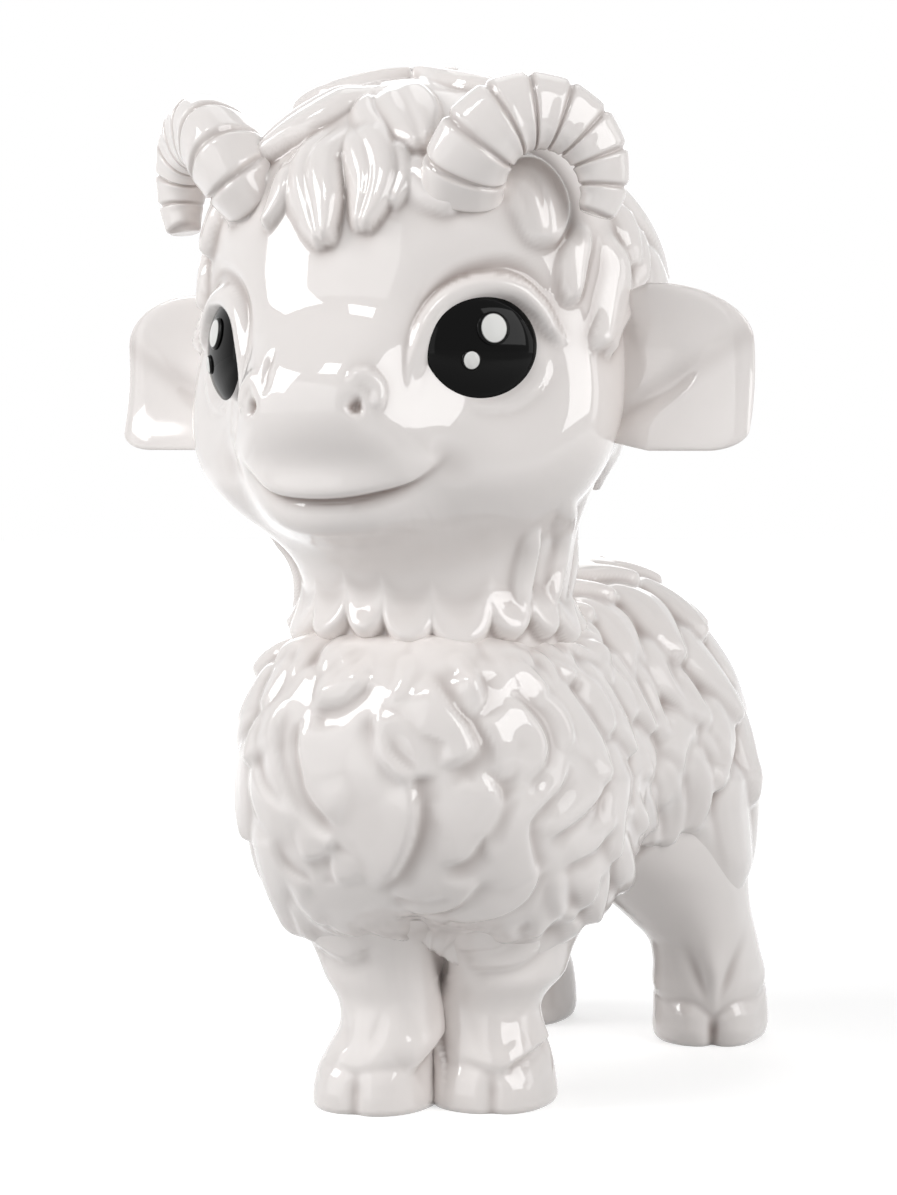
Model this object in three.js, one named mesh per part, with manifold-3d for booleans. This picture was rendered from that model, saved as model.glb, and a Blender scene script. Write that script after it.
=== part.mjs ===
// Standing ram kid, a glazed ceramic table ornament, luted together from cast and press-moulded sections.
// Millimetres, +Z up. The kid faces -Y, its left side is +X, and it stands on Z = 0 over the origin.
import * as THREE from "three";
import { mergeVertices } from "three/addons/utils/BufferGeometryUtils.js";
import Module from "manifold-3d";

const wasm = await Module();
wasm.setup();

// Driving dimensions. Forward, back and side are measured from the axis through the ears.

const LUTE_GAP = 0.3; // slip joint between two sections
const CLAY_BLEND = 14; // how far one modelled mass flows into the next
const FACE_BLEND = 8; // the same between the parts of the face

const TORSO_WIDTH = 78;
const TORSO_DEPTH = 72; // from belly to back at the barrel
const TORSO_MIDDLE = 84; // height of the barrel's axis
const CHEST_FORWARD = 38;
const RUMP_BACK = 117;
const RUMP_WIDTH = 82;
const RUMP_RISE = 5; // how much higher the rump lies than the barrel
const HAUNCH_SIDE = 19;
const HAUNCH_BACK = 93;
const HAUNCH_HEIGHT = 67; // middle of the haunch above the ground
const HAUNCH_RADIUS = 30;
const BARREL_INSET = 8; // how far the barrel ends inside the chest and the rump

const FLEECE_RISE = 5; // how far the tip of a lock stands off the bare skin
const FLEECE_HEM = 42; // height of the fleece's lower edge at the legs
const FLEECE_HEM_BELLY = 68; // the same at the top of its arch in front of the haunch
const HEM_ARCH = 30; // half the length of that arch
const HEM_FADE = 6; // height over which the locks thin out at the hem
const LOCKS_ROUND = 20; // locks in a row right round the trunk
const LOCK_ROW = 26; // degrees from one row of locks to the next
const LOCK_OVERLAP = 1.5; // length of a lock, in rows
const LOCK_UNEVEN = 0.15; // how much longer or shorter a lock may be, in rows
const LOCK_SLANT = 0.35; // how far a lock leans back over one row, in widths of a lock
const LOCK_BEND = 0.2; // the swing of its S-bend, in widths of a lock
const EVEN_COAT = 0.6; // height of the coat along the spine, as a share of a lock's

const NECK_RADIUS = 29.5;
const NECK_BACK = 6;
const NECK_FOOT = 12; // how far the neck's foot lies above the barrel's axis
const COLLAR_HEIGHT = 113; // lower edge of the collar of fleece
const COLLAR_FLARE = 3;
const COLLAR_TUFTS = 17;
const COLLAR_TUFT_RADIUS = 5.5;
const COLLAR_TUFT_LENGTH = 20;

const HEAD_LEVEL = 180.5; // height of the eyes, where the head is measured from
const SKULL_WIDTH = 101;
const SKULL_DEPTH = 81;
const SKULL_HEIGHT = 94;
const SKULL_FORWARD = 6;
const SKULL_RISE = 17;
const NAPE_WIDTH = 104; // fleece over the back of the head
const NAPE_HEIGHT = 80;
const NAPE_BACK = 54;
const NAPE_RISE = 10;
const NAPE_LOCK = 30; // degrees from one lock to the next round the head
const NAPE_LOCK_RISE = 4.5;
const HAIRLINE = 108; // degrees from straight ahead to the fleece at the sides of the head
const HAIRLINE_CROWN = 50; // the same over the crown
const HAIRLINE_FADE = 8; // degrees over which the fleece thins out on either side of the hairline
const CHEEK_WIDTH = 108;
const CHEEK_HEIGHT = 72;
const CHEEK_DROP = 14;
const CHEEK_FORWARD = 13;
const CHEEK_DEPTH = 76;
const MUZZLE_WIDTH = 62;
const MUZZLE_HEIGHT = 42;
const MUZZLE_DEPTH = 52;
const MUZZLE_FORWARD = 60;
const MUZZLE_DROP = 13;
const CHIN_WIDTH = 40;
const CHIN_DEPTH = 36;
const CHIN_HEIGHT = 22;
const CHIN_FORWARD = 53;
const CHIN_DROP = 33;
const JAW_TUCK = 14; // how far below the chin the jaw runs into the neck

const EYE_WIDTH = 26.5;
const EYE_HEIGHT = 24;
const EYE_BULGE = 4.5; // from the bead's rim to its front
const EYE_DEEP = 1.5; // how far the bead's front lies behind the curve of the skull
const EYE_DISH_RADIUS = 60; // curve of the shallow dish that the eye lies in
const EYE_DISH_DEPTH = 5.5;
const EYE_SPREAD = 48; // degrees from straight ahead to an eye, seen from the skull's axis
const EYE_BEARING = 42; // degrees that an eye looks away from straight ahead
const LID_RADIUS = 3.4;
const LID_TAIL = 4; // how far the lid runs on past the outer corner
const GLINT_LARGE = 7.6;
const GLINT_SMALL = 4.6;
const GLINT_HEIGHT = 0.9;
const GLINT_LARGE_AT = [2, 4]; // across and up from the bead's middle
const GLINT_SMALL_AT = [-3, -3];

const MOUTH_SIDE = 28; // corner of the mouth from the plane of symmetry
const MOUTH_CORNER_DROP = 25;
const MOUTH_DROP = 33;
const MOUTH_GROOVE = 1.2; // radius of the groove between the lips
const MOUTH_DIMPLE = 1.4; // how much deeper it is pressed at its corners
const NOSTRIL_SIDE = 13;
const NOSTRIL_DROP = 13;
const NOSTRIL_RADIUS = 3;

const HORN_COIL = 30; // diameter of the coil's centreline
const HORN_ROOT_RADIUS = 9.5;
const HORN_TIP_RADIUS = 4;
const HORN_TURN = 208; // degrees from where it leaves the head to its tip
const HORN_SINK = 18; // how deep the root goes into the head
const HORN_RIBS = 11;
const HORN_GROOVE = 0.9;
const HORN_SIDE = 43.5; // middle of the coil from the plane of symmetry
const HORN_FORWARD = 29;
const HORN_BELOW_CROWN = 27.5; // middle of the coil below the top of the skull
const HORN_SWEEP = 37; // degrees that the coil's plane turns back from straight sideways

const EAR_SPAN = 168; // from ear tip to ear tip
const EAR_HEIGHT = 38;
const EAR_THICKNESS = 5.5;
const EAR_CUP = 5; // how deep the ear is hollowed
const EAR_DROP = 4;
const EAR_ROOT = 14; // how deep the root goes into the head

const FORELEG_SIDE = 12; // sole's middle from the plane of symmetry
const FORELEG_BACK = 5.5;
const FORELEG_STRIDE = 15; // how far the right foreleg stands in front of the left
const HIND_LEG_SIDE = 28.5;
const HIND_LEG_BACK = 108;
const HOOF_WIDTH = 30;
const HOOF_LENGTH = 33;
const HOOF_HEIGHT = 15;
const PASTERN_WIDTH = 23;
const PASTERN_HEIGHT = 24;
const PASTERN_TOE_IN = 2; // how much nearer the fore pasterns stand to the plane of symmetry than the soles
const SHOULDER_WIDTH = 39;
const SHOULDER_LENGTH = 52;
const HOCK_LENGTH = 34;
const CLEFT_WIDTH = 3.4;
const CLEFT_DEPTH = 8;

const TAIL_LENGTH = 28;
const TAIL_RADIUS = 7;

// Finishes

const whiteGlaze = new THREE.MeshStandardMaterial({ color: 0xe9e7e4, roughness: 0.12, metalness: 0 });
const blackGlaze = new THREE.MeshStandardMaterial({ color: 0x070707, roughness: 0.06, metalness: 0 });
const whiteEnamel = new THREE.MeshStandardMaterial({ color: 0xf2f2f0, roughness: 0.15, metalness: 0 });

// Solids and skins

const { degToRad, radToDeg, lerp, clamp, smoothstep } = THREE.MathUtils;
const vector = (x, y, z) => new THREE.Vector3(x, y, z);

// The level direction at an angle from straight ahead.
const ahead = (degrees) => vector(Math.sin(degToRad(degrees)), -Math.cos(degToRad(degrees)), 0);

// A closed solid of a geometry, ready to be joined and cut.
function solid(geometry) {
  const bare = geometry.clone();
  bare.deleteAttribute("normal");
  bare.deleteAttribute("uv");
  const merged = mergeVertices(bare, 1e-4);
  return new wasm.Manifold(
    new wasm.Mesh({
      numProp: 3,
      vertProperties: merged.attributes.position.array,
      triVerts: new Uint32Array(merged.index.array),
    }),
  );
}

// The surface of a solid, as a geometry.
function surface(made) {
  const mesh = made.getMesh();
  const geometry = new THREE.BufferGeometry();
  geometry.setAttribute("position", new THREE.BufferAttribute(mesh.vertProperties, 3));
  geometry.setIndex(new THREE.BufferAttribute(mesh.triVerts, 1));
  geometry.computeVertexNormals();
  return geometry;
}

const joined = (solids) => solids.reduce((whole, next) => whole.add(next));

// The largest body of a solid that cuts have left in pieces.
const mainBody = (made) => made.decompose().sort((a, b) => b.volume() - a.volume())[0];

// A skin over rings of equally many points, closed by a fan at each end.
function skin(rings) {
  const sides = rings[0].length;
  const points = rings.flat();
  const middle = (ring) => ring.reduce((sum, p) => sum.add(p), vector(0, 0, 0)).divideScalar(sides);
  const first = points.push(middle(rings[0])) - 1;
  const last = points.push(middle(rings.at(-1))) - 1;
  const top = (rings.length - 1) * sides;
  const faces = [];
  for (let i = 0; i < sides; i++) {
    const j = (i + 1) % sides;
    faces.push(first, j, i, last, top + i, top + j);
    for (let low = 0; low < top; low += sides) {
      const high = low + sides;
      faces.push(low + i, low + j, high + i, low + j, high + j, high + i);
    }
  }
  return new THREE.BufferGeometry().setFromPoints(points).setIndex(faces);
}

// A point of a rounded box of exponent n on half-axes a and b, at an angle: n = 2 is an ellipse.
function superellipse(angle, a, b, n) {
  const [c, s] = [Math.cos(angle), Math.sin(angle)];
  return [a * Math.sign(c) * Math.abs(c) ** (2 / n), b * Math.sign(s) * Math.abs(s) ** (2 / n)];
}

// A smooth curve through stations of several values, read at t from 0 to 1.
function through(stations) {
  const last = stations.length - 1;
  return (t) => {
    const at = t * last;
    const i = Math.min(Math.floor(at), last - 1);
    const [a, b, c, d] = [i - 1, i, i + 1, i + 2].map((k) => stations[clamp(k, 0, last)]);
    const s = at - i;
    return b.map((_, k) => {
      const [m, n] = [(c[k] - a[k]) / 2, (d[k] - b[k]) / 2];
      const chord = c[k] - b[k];
      return b[k] + s * (m + s * (3 * chord - 2 * m - n + s * (m + n - 2 * chord)));
    });
  };
}

// A round section of changing radius carried along a curve.
function sweep(path, radiusAt, steps, sides) {
  const curve = new THREE.CatmullRomCurve3(path);
  const frames = curve.computeFrenetFrames(steps, false);
  const rings = [];
  for (let i = 0; i <= steps; i++) {
    const centre = curve.getPointAt(i / steps);
    const radius = radiusAt(i / steps);
    const ring = [];
    for (let k = 0; k < sides; k++) {
      const angle = (2 * Math.PI * k) / sides;
      const point = centre.clone().addScaledVector(frames.normals[i], radius * Math.cos(angle));
      ring.push(point.addScaledVector(frames.binormals[i], radius * Math.sin(angle)));
    }
    rings.push(ring);
  }
  return solid(skin(rings));
}

// The radius of a lock of fleece along its length: full near the root and drawn out to a blunt tip.
const lockRadius = (radius) => (t) => radius * (0.12 + 0.88 * Math.sin(Math.PI * (0.2 + 0.78 * t)) ** 0.8);

// Modelled masses: a field is negative inside, zero on the surface and about the distance outside.

// A ball on three half-axes; a larger exponent than 2 makes it squarer.
function ball(centre, radii, n = 2) {
  return (p) => {
    const out = ["x", "y", "z"].map((k) => Math.abs(p[k] - centre[k]) / radii[k]);
    const near = Math.max(1e-6, out.reduce((sum, part) => sum + part ** n, 0) ** (1 / n));
    const slope = Math.hypot(...["x", "y", "z"].map((k, i) => (out[i] / near) ** (n - 1) / radii[k]));
    return (near - 1) / slope;
  };
}

// Two masses with a soft fillet where they meet.
function blended(reach, ...fields) {
  return (p) =>
    fields
      .map((field) => field(p))
      .reduce((a, b) => {
        const mix = Math.max(reach - Math.abs(a - b), 0) / reach;
        return Math.min(a, b) - (mix * mix * reach) / 4;
      });
}

// A mass with a dish pressed into it, rounded at its edge.
function pressed(reach, field, tool) {
  return (p) => {
    const [a, b] = [field(p), -tool(p)];
    const mix = Math.max(reach - Math.abs(a - b), 0) / reach;
    return Math.max(a, b) + (mix * mix * reach) / 4;
  };
}

// Where a ray from inside a field last leaves it, coming back from far out.
function leave(field, from, direction, far = 220) {
  const at = (distance) => field(from.clone().addScaledVector(direction, distance));
  let out = far;
  for (let i = 0; i < 200 && at(out) > 0.002; i++) {
    out = Math.max(out - 0.7 * at(out), 0);
  }
  return from.clone().addScaledVector(direction, out);
}

// A closed skin cast onto a field by rays from an axis: each row has its foot on the axis and its tilt.
function cast(field, axis, rows, sides) {
  const across = vector(axis.y, axis.z, axis.x);
  const other = axis.clone().cross(across);
  const rings = rows.map(([foot, tilt]) => {
    const ring = [];
    for (let k = 0; k < sides; k++) {
      const angle = (2 * Math.PI * k) / sides;
      const out = across.clone().multiplyScalar(Math.cos(angle)).addScaledVector(other, Math.sin(angle));
      const ray = out.multiplyScalar(Math.cos(tilt)).addScaledVector(axis, Math.sin(tilt));
      ring.push(leave(field, foot, ray));
    }
    return ring;
  });
  return solid(skin(rings));
}

// Torso

const barrelLength = RUMP_BACK + CHEST_FORWARD;
const barrelMiddle = vector(0, (RUMP_BACK - CHEST_FORWARD) / 2, TORSO_MIDDLE + RUMP_RISE / 2);
const chestMiddle = vector(0, 0, TORSO_MIDDLE - 1);
const rumpMiddle = vector(0, RUMP_BACK - RUMP_WIDTH / 2, TORSO_MIDDLE + RUMP_RISE);

const halfRound = rumpMiddle.y - chestMiddle.y + (Math.PI * TORSO_WIDTH) / 2; // half-way round the trunk

function haunch(side) {
  const middle = vector(side * HAUNCH_SIDE, HAUNCH_BACK, HAUNCH_HEIGHT);
  return ball(middle, vector(RUMP_WIDTH / 2 - HAUNCH_SIDE, HAUNCH_RADIUS, HAUNCH_RADIUS));
}

const torsoField = blended(
  CLAY_BLEND,
  ball(chestMiddle, vector(TORSO_WIDTH / 2, CHEST_FORWARD, TORSO_DEPTH / 2), 2.5),
  ball(barrelMiddle, vector(TORSO_WIDTH / 2 - 2, barrelLength / 2 - BARREL_INSET, TORSO_DEPTH / 2 + 1), 2.3),
  ball(rumpMiddle, vector(RUMP_WIDTH / 2, RUMP_WIDTH / 2, TORSO_DEPTH / 2 + 1)),
  haunch(1),
  haunch(-1),
);

// Locks in overlapping rows: across counts the locks along a row, down counts the rows from the top.
// Each is a leaf that leans back in an S-bend, is rounded across and rises to its tip.
function lockHeight(across, down) {
  let height = 0;
  for (const row of [Math.floor(down) - 1, Math.floor(down)]) {
    const place = across - LOCK_SLANT * down + LOCK_BEND * Math.sin(Math.PI * down) + (row % 2) / 2;
    const lock = Math.round(place);
    const gone = (down - row) / (LOCK_OVERLAP + LOCK_UNEVEN * Math.sin(5 * lock + 2 * row));
    const leaf = 0.5 * Math.sin(Math.PI * (0.14 + 0.8 * Math.min(gone, 1))) ** 0.9;
    const aside = Math.abs(place - lock) / leaf;
    if (gone < 1 && aside < 1) {
      const rise = Math.min(gone / 0.15, 1) * (0.4 + 0.6 * gone);
      height = Math.max(height, rise * (1 - aside ** 2) ** 0.6);
    }
  }
  return height;
}

// The same at a tilt above the level, smoothed to an even coat towards the top, where the rows begin.
function combed(across, tilt) {
  const rows = lockHeight(across, (90 - tilt) / LOCK_ROW);
  return lerp(rows, EVEN_COAT, smoothstep(tilt, 90 - LOCK_ROW, 90 - LOCK_ROW / 3));
}

// Height of the fleece's hem along the body: low at the legs, with an arch in front of the haunch.
function hemHeight(y) {
  const aside = Math.abs(y - HAUNCH_BACK + HAUNCH_RADIUS);
  return lerp(FLEECE_HEM_BELLY, FLEECE_HEM, smoothstep(aside, 0, HEM_ARCH));
}

// Foot of a point on the level spine from chest to rump.
function spineFoot(y) {
  const share = clamp((y - chestMiddle.y) / (rumpMiddle.y - chestMiddle.y), 0, 1);
  return chestMiddle.clone().lerp(rumpMiddle, share);
}

// How far the fleece stands off the trunk at a point of its skin.
function fleeceRise(p) {
  const foot = spineFoot(p.y);
  const out = p.clone().sub(foot);
  const bearing = Math.abs(Math.atan2(out.x, -out.y));
  const tilt = Math.atan2(out.z, Math.hypot(out.x, out.y));
  const round = foot.y - chestMiddle.y + (bearing * TORSO_WIDTH) / 2;
  const across = (LOCKS_ROUND / 2) * (round / halfRound);
  const hem = clamp((p.z - hemHeight(p.y)) / HEM_FADE, 0, 1);
  return FLEECE_RISE * hem * combed(across, radToDeg(tilt));
}

// The trunk's skin: rays stand round the spine, square to it at the flanks, in rows from belly to back.
function torsoForm(grow) {
  const field = (p) => torsoField(p) - fleeceRise(p) - grow;
  const sides = 5 * LOCKS_ROUND;
  const quarter = (Math.PI * TORSO_WIDTH) / 4;
  const tilts = [-88, -72];
  for (let tilt = -58; tilt < 84; tilt += LOCK_ROW / 4) {
    tilts.push(tilt);
  }
  const rings = [...tilts, 88].map((tilt) => {
    const [level, rise] = [Math.cos(degToRad(tilt)), Math.sin(degToRad(tilt))];
    const ring = [];
    for (let k = 0; k < sides; k++) {
      const side = k < sides / 2 ? 1 : -1;
      const round = 2 * halfRound * Math.min(k / sides, 1 - k / sides);
      const foot = spineFoot(chestMiddle.y + round - quarter);
      const bearing = (2 * (round - foot.y + chestMiddle.y)) / TORSO_WIDTH;
      const ray = ahead(side * radToDeg(bearing)).multiplyScalar(level).add(vector(0, 0, rise));
      ring.push(leave(field, foot, ray));
    }
    return ring;
  });
  return solid(skin(rings));
}

// Head and neck

const skullMiddle = vector(0, -SKULL_FORWARD, HEAD_LEVEL + SKULL_RISE);
const cheekMiddle = vector(0, -CHEEK_FORWARD, HEAD_LEVEL - CHEEK_DROP);
const muzzleMiddle = vector(0, MUZZLE_DEPTH / 2 - MUZZLE_FORWARD, HEAD_LEVEL - MUZZLE_DROP);
const chinMiddle = vector(0, CHIN_DEPTH / 2 - CHIN_FORWARD, HEAD_LEVEL - CHIN_DROP);

const napeField = ball(
  vector(0, NAPE_BACK - SKULL_DEPTH / 2, HEAD_LEVEL + NAPE_RISE),
  vector(NAPE_WIDTH / 2, SKULL_DEPTH / 2, NAPE_HEIGHT / 2),
);

const skullField = blended(
  FACE_BLEND,
  blended(
    CLAY_BLEND,
    ball(skullMiddle, vector(SKULL_WIDTH / 2, SKULL_DEPTH / 2, SKULL_HEIGHT / 2)),
    napeField,
    ball(cheekMiddle, vector(CHEEK_WIDTH / 2, CHEEK_DEPTH / 2, CHEEK_HEIGHT / 2)),
  ),
  ball(muzzleMiddle, vector(MUZZLE_WIDTH / 2, MUZZLE_DEPTH / 2, MUZZLE_HEIGHT / 2)),
  ball(chinMiddle, vector(CHIN_WIDTH / 2, CHIN_DEPTH / 2, CHIN_HEIGHT / 2)),
);

// Where an eye sits on the skull, and the way that it looks.
const eyeOutward = (side) => ahead(side * EYE_BEARING);
const eyeClay = (side) => leave(skullField, vector(0, -SKULL_FORWARD, HEAD_LEVEL), ahead(side * EYE_SPREAD));

function eyeDish(side) {
  const middle = eyeClay(side).addScaledVector(eyeOutward(side), EYE_DISH_RADIUS - EYE_DISH_DEPTH);
  return ball(middle, vector(EYE_DISH_RADIUS, EYE_DISH_RADIUS, EYE_DISH_RADIUS));
}

const faceField = pressed(FACE_BLEND, pressed(FACE_BLEND, skullField, eyeDish(1)), eyeDish(-1));

const neckAxis = (z) => vector(0, NECK_BACK, z);

function neckField(p) {
  const flare = COLLAR_FLARE * clamp((cheekMiddle.z - p.z) / (cheekMiddle.z - COLLAR_HEIGHT), 0, 1);
  const round = Math.hypot(p.x, p.y - NECK_BACK) - NECK_RADIUS - flare;
  return Math.max(round, p.z - cheekMiddle.z, TORSO_MIDDLE - p.z);
}

const headField = blended(CLAY_BLEND, faceField, neckField);

// How far the fleece stands off the back of the head at a point of its skin.
function napeRise(p) {
  const out = p.clone().sub(skullMiddle);
  const bearing = radToDeg(Math.abs(Math.atan2(out.x, -out.y)));
  const rise = radToDeg(Math.atan2(out.z, Math.hypot(out.x, out.y)));
  const line = lerp(HAIRLINE, HAIRLINE_CROWN, smoothstep(rise, 30, 75));
  const hair = smoothstep(bearing, line - HAIRLINE_FADE, line + HAIRLINE_FADE);
  const thin = smoothstep(p.z, COLLAR_HEIGHT, COLLAR_HEIGHT + COLLAR_TUFT_LENGTH);
  return NAPE_LOCK_RISE * hair * thin * combed(bearing / NAPE_LOCK, rise);
}

// The skin of neck and head in one: square to the neck, tilted under the jaw, a fan over the crown.
function headForm(grow) {
  const rows = [];
  const [neckRows, jawRows, crownRows] = [3, 6, 21];
  const jaw = HEAD_LEVEL - CHIN_DROP;
  for (let i = 0; i < neckRows; i++) {
    const foot = neckAxis(lerp(TORSO_MIDDLE + NECK_FOOT, jaw - JAW_TUCK, i / neckRows));
    rows.push([foot, degToRad(lerp(0, -20, i / neckRows))]);
  }
  for (let i = 0; i < jawRows; i++) {
    const foot = neckAxis(jaw - JAW_TUCK).lerp(cheekMiddle, i / jawRows);
    rows.push([foot, degToRad(lerp(-20, -30, i / jawRows))]);
  }
  for (let i = 0; i <= crownRows; i++) {
    const foot = cheekMiddle.clone().lerp(skullMiddle, i / crownRows);
    rows.push([foot, degToRad(lerp(-30, 86, i / crownRows))]);
  }
  return cast((p) => headField(p) - napeRise(p) - grow, vector(0, 0, 1), rows, 48);
}

// A point on the head at a bearing from straight ahead and a height angle, lifted off the clay.
function onHead(bearing, rise, lift) {
  const [b, r] = [degToRad(bearing), degToRad(rise)];
  const ray = vector(Math.sin(b) * Math.cos(r), -Math.cos(b) * Math.cos(r), Math.sin(r));
  return leave(headField, skullMiddle, ray).addScaledVector(ray, lift);
}

// A point on the head straight in front of a place given by its side and height.
const onFace = (x, z) => leave(headField, vector(x, -SKULL_FORWARD, z), vector(0, -1, 0));

// Fleece tufts that hang round the neck and lie over the shoulders.
function collarTufts() {
  const tufts = [];
  for (let k = 0; k < COLLAR_TUFTS; k++) {
    const angle = (2 * Math.PI * (k + 0.5)) / COLLAR_TUFTS;
    const at = (radius, z) => neckAxis(z).add(vector(radius * Math.sin(angle), -radius * Math.cos(angle), 0));
    const path = [
      at(NECK_RADIUS - COLLAR_TUFT_RADIUS / 2, COLLAR_HEIGHT + COLLAR_TUFT_LENGTH),
      at(NECK_RADIUS - COLLAR_TUFT_RADIUS / 2 + COLLAR_FLARE / 2, COLLAR_HEIGHT + COLLAR_TUFT_LENGTH / 2),
      at(NECK_RADIUS + COLLAR_FLARE, COLLAR_HEIGHT),
    ];
    tufts.push(sweep(path, lockRadius(COLLAR_TUFT_RADIUS), 4, 5));
  }
  return joined(tufts);
}

// Locks of the head: bearing and height angle where each begins and ends, and its radius.
const LOCKS_OF_HEAD = [
  [-6, 66, -12, 14, 6.5],
  [4, 66, 4, 11, 6.5],
  [12, 62, 19, 17, 5.5],
  [-18, 60, -31, 19, 5.5],
  [-26, 54, -47, 22, 5],
  [24, 54, 33, 21, 4.5],
  [-2, 78, -62, 44, 9.5],
  [6, 78, 46, 50, 9],
];
const LOCKS_OF_TEMPLE = [
  [57, 24, 62, -2, 5.5],
  [76, 30, 73, -12, 6],
  [96, 34, 90, -4, 7],
];

// A lock that lies on one side of the head, its tip drawn down onto the skin.
function headLock([from, high, to, low, radius], side) {
  const path = [0, 0.35, 0.7, 1].map((t) =>
    onHead(side * lerp(from, to, t), lerp(high, low, t), -0.4 * radius * (1 - t) - 0.5 * t),
  );
  return sweep(path, lockRadius(radius), 5, 6);
}

const forelock = () => joined(LOCKS_OF_HEAD.map((lock) => headLock(lock, 1)));
const templeLocks = (side) => joined(LOCKS_OF_TEMPLE.map((lock) => headLock(lock, side)));

// Eyes

// The eye's own frame: across, up and outward.
function eyeFrame(side) {
  const outward = eyeOutward(side);
  const across = vector(-outward.y, outward.x, 0);
  const middle = eyeClay(side).addScaledVector(outward, -EYE_DEEP - EYE_BULGE);
  return new THREE.Matrix4().makeBasis(across, vector(0, 0, 1), outward).setPosition(middle);
}

// A bead in the eye's own frame.
function eyeBead(grow) {
  const radii = [EYE_WIDTH / 2 + grow, EYE_HEIGHT / 2 + grow, EYE_BULGE + grow];
  return new THREE.SphereGeometry(1, 16, 10).rotateX(Math.PI / 2).scale(...radii);
}

// The socket that the bead lies in: the bead's own shape, carried straight outwards from its rim.
function eyeSocket(side) {
  const socket = eyeBead(LUTE_GAP);
  const points = socket.attributes.position;
  for (let i = 0; i < points.count; i++) {
    points.setZ(i, points.getZ(i) + (points.getZ(i) > 1e-6 ? 2 * EYE_BULGE : 0));
  }
  return solid(socket.applyMatrix4(eyeFrame(side)));
}

// A roll of lid round the top of the eye, thickest above its middle and drawn out at its outer end.
function eyelid(side) {
  const path = [];
  for (let i = 0; i <= 8; i++) {
    const angle = degToRad(lerp(185, 0, i / 8));
    const out = LID_RADIUS / 3 + LID_TAIL * (i / 8) ** 4;
    const [x, y] = [(EYE_WIDTH / 2 + out) * Math.cos(angle), (EYE_HEIGHT / 2 + out) * Math.sin(angle)];
    const foot = vector(side * x, y, -EYE_BULGE).applyMatrix4(eyeFrame(side));
    const skinned = leave(headField, foot, eyeOutward(side), EYE_WIDTH);
    path.push(skinned.addScaledVector(eyeOutward(side), LID_RADIUS / 4));
  }
  return sweep(path, (t) => LID_RADIUS * (0.3 + 0.7 * Math.sin(Math.PI * t)), 14, 7);
}

// A raised dot of enamel on the bead, at a place across and up on it.
function glint(diameter, across, up) {
  const [a, b, c] = [EYE_WIDTH / 2, EYE_HEIGHT / 2, EYE_BULGE];
  const out = c * Math.sqrt(1 - (across / a) ** 2 - (up / b) ** 2);
  const normal = vector(across / a ** 2, up / b ** 2, out / c ** 2).normalize();
  const turn = new THREE.Quaternion().setFromUnitVectors(vector(0, 0, 1), normal);
  const dot = new THREE.SphereGeometry(1, 10, 6)
    .rotateX(Math.PI / 2)
    .scale(diameter / 2, diameter / 2, GLINT_HEIGHT + LUTE_GAP)
    .applyQuaternion(turn)
    .translate(across, up, out);
  return surface(solid(dot).subtract(solid(eyeBead(LUTE_GAP))));
}

// Mouth and nostrils

// The line between the lips, a groove from corner to corner.
function mouthLine() {
  const path = [];
  for (let i = 0; i <= 10; i++) {
    const across = lerp(-1, 1, i / 10);
    const z = HEAD_LEVEL - lerp(MOUTH_DROP, MOUTH_CORNER_DROP, across * across);
    path.push(onFace(across * MOUTH_SIDE, z));
  }
  return sweep(path, (t) => MOUTH_GROOVE + MOUTH_DIMPLE * Math.abs(2 * t - 1) ** 6, 16, 6);
}

function nostril(side) {
  const place = onFace(side * NOSTRIL_SIDE, HEAD_LEVEL - NOSTRIL_DROP);
  const hole = new THREE.SphereGeometry(NOSTRIL_RADIUS, 12, 8).scale(0.8, 1, 1);
  return solid(hole.translate(place.x, place.y, place.z));
}

// Horns

// A tapering coil that leaves the head at the hairline and goes up, out and down, a groove between its ribs.
function hornForm(side, grow) {
  const turn = degToRad(HORN_SWEEP);
  const sideways = vector(side * Math.cos(turn), Math.sin(turn), 0);
  const middle = vector(side * HORN_SIDE, -HORN_FORWARD, skullMiddle.z + SKULL_HEIGHT / 2 - HORN_BELOW_CROWN);
  const path = [];
  for (let i = -2; i <= 12; i++) {
    const angle = Math.PI - degToRad((HORN_TURN * i) / 12);
    const point = middle.clone().addScaledVector(sideways, (HORN_COIL / 2) * Math.cos(angle));
    const inward = vector(-point.x, -point.y, 0).setLength(HORN_SINK * clamp((3 - i) / 5, 0, 1) ** 2);
    path.push(point.add(inward).add(vector(0, 0, (HORN_COIL / 2) * Math.sin(angle))));
  }
  const ribbed = (t) => {
    const rib = Math.abs(Math.sin(Math.PI * HORN_RIBS * t)) ** 0.4;
    return lerp(HORN_ROOT_RADIUS, HORN_TIP_RADIUS, t ** 3) - HORN_GROOVE * (1 - rib) + grow;
  };
  return sweep(path, ribbed, HORN_RIBS * 3, 9);
}

// Ears

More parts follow.
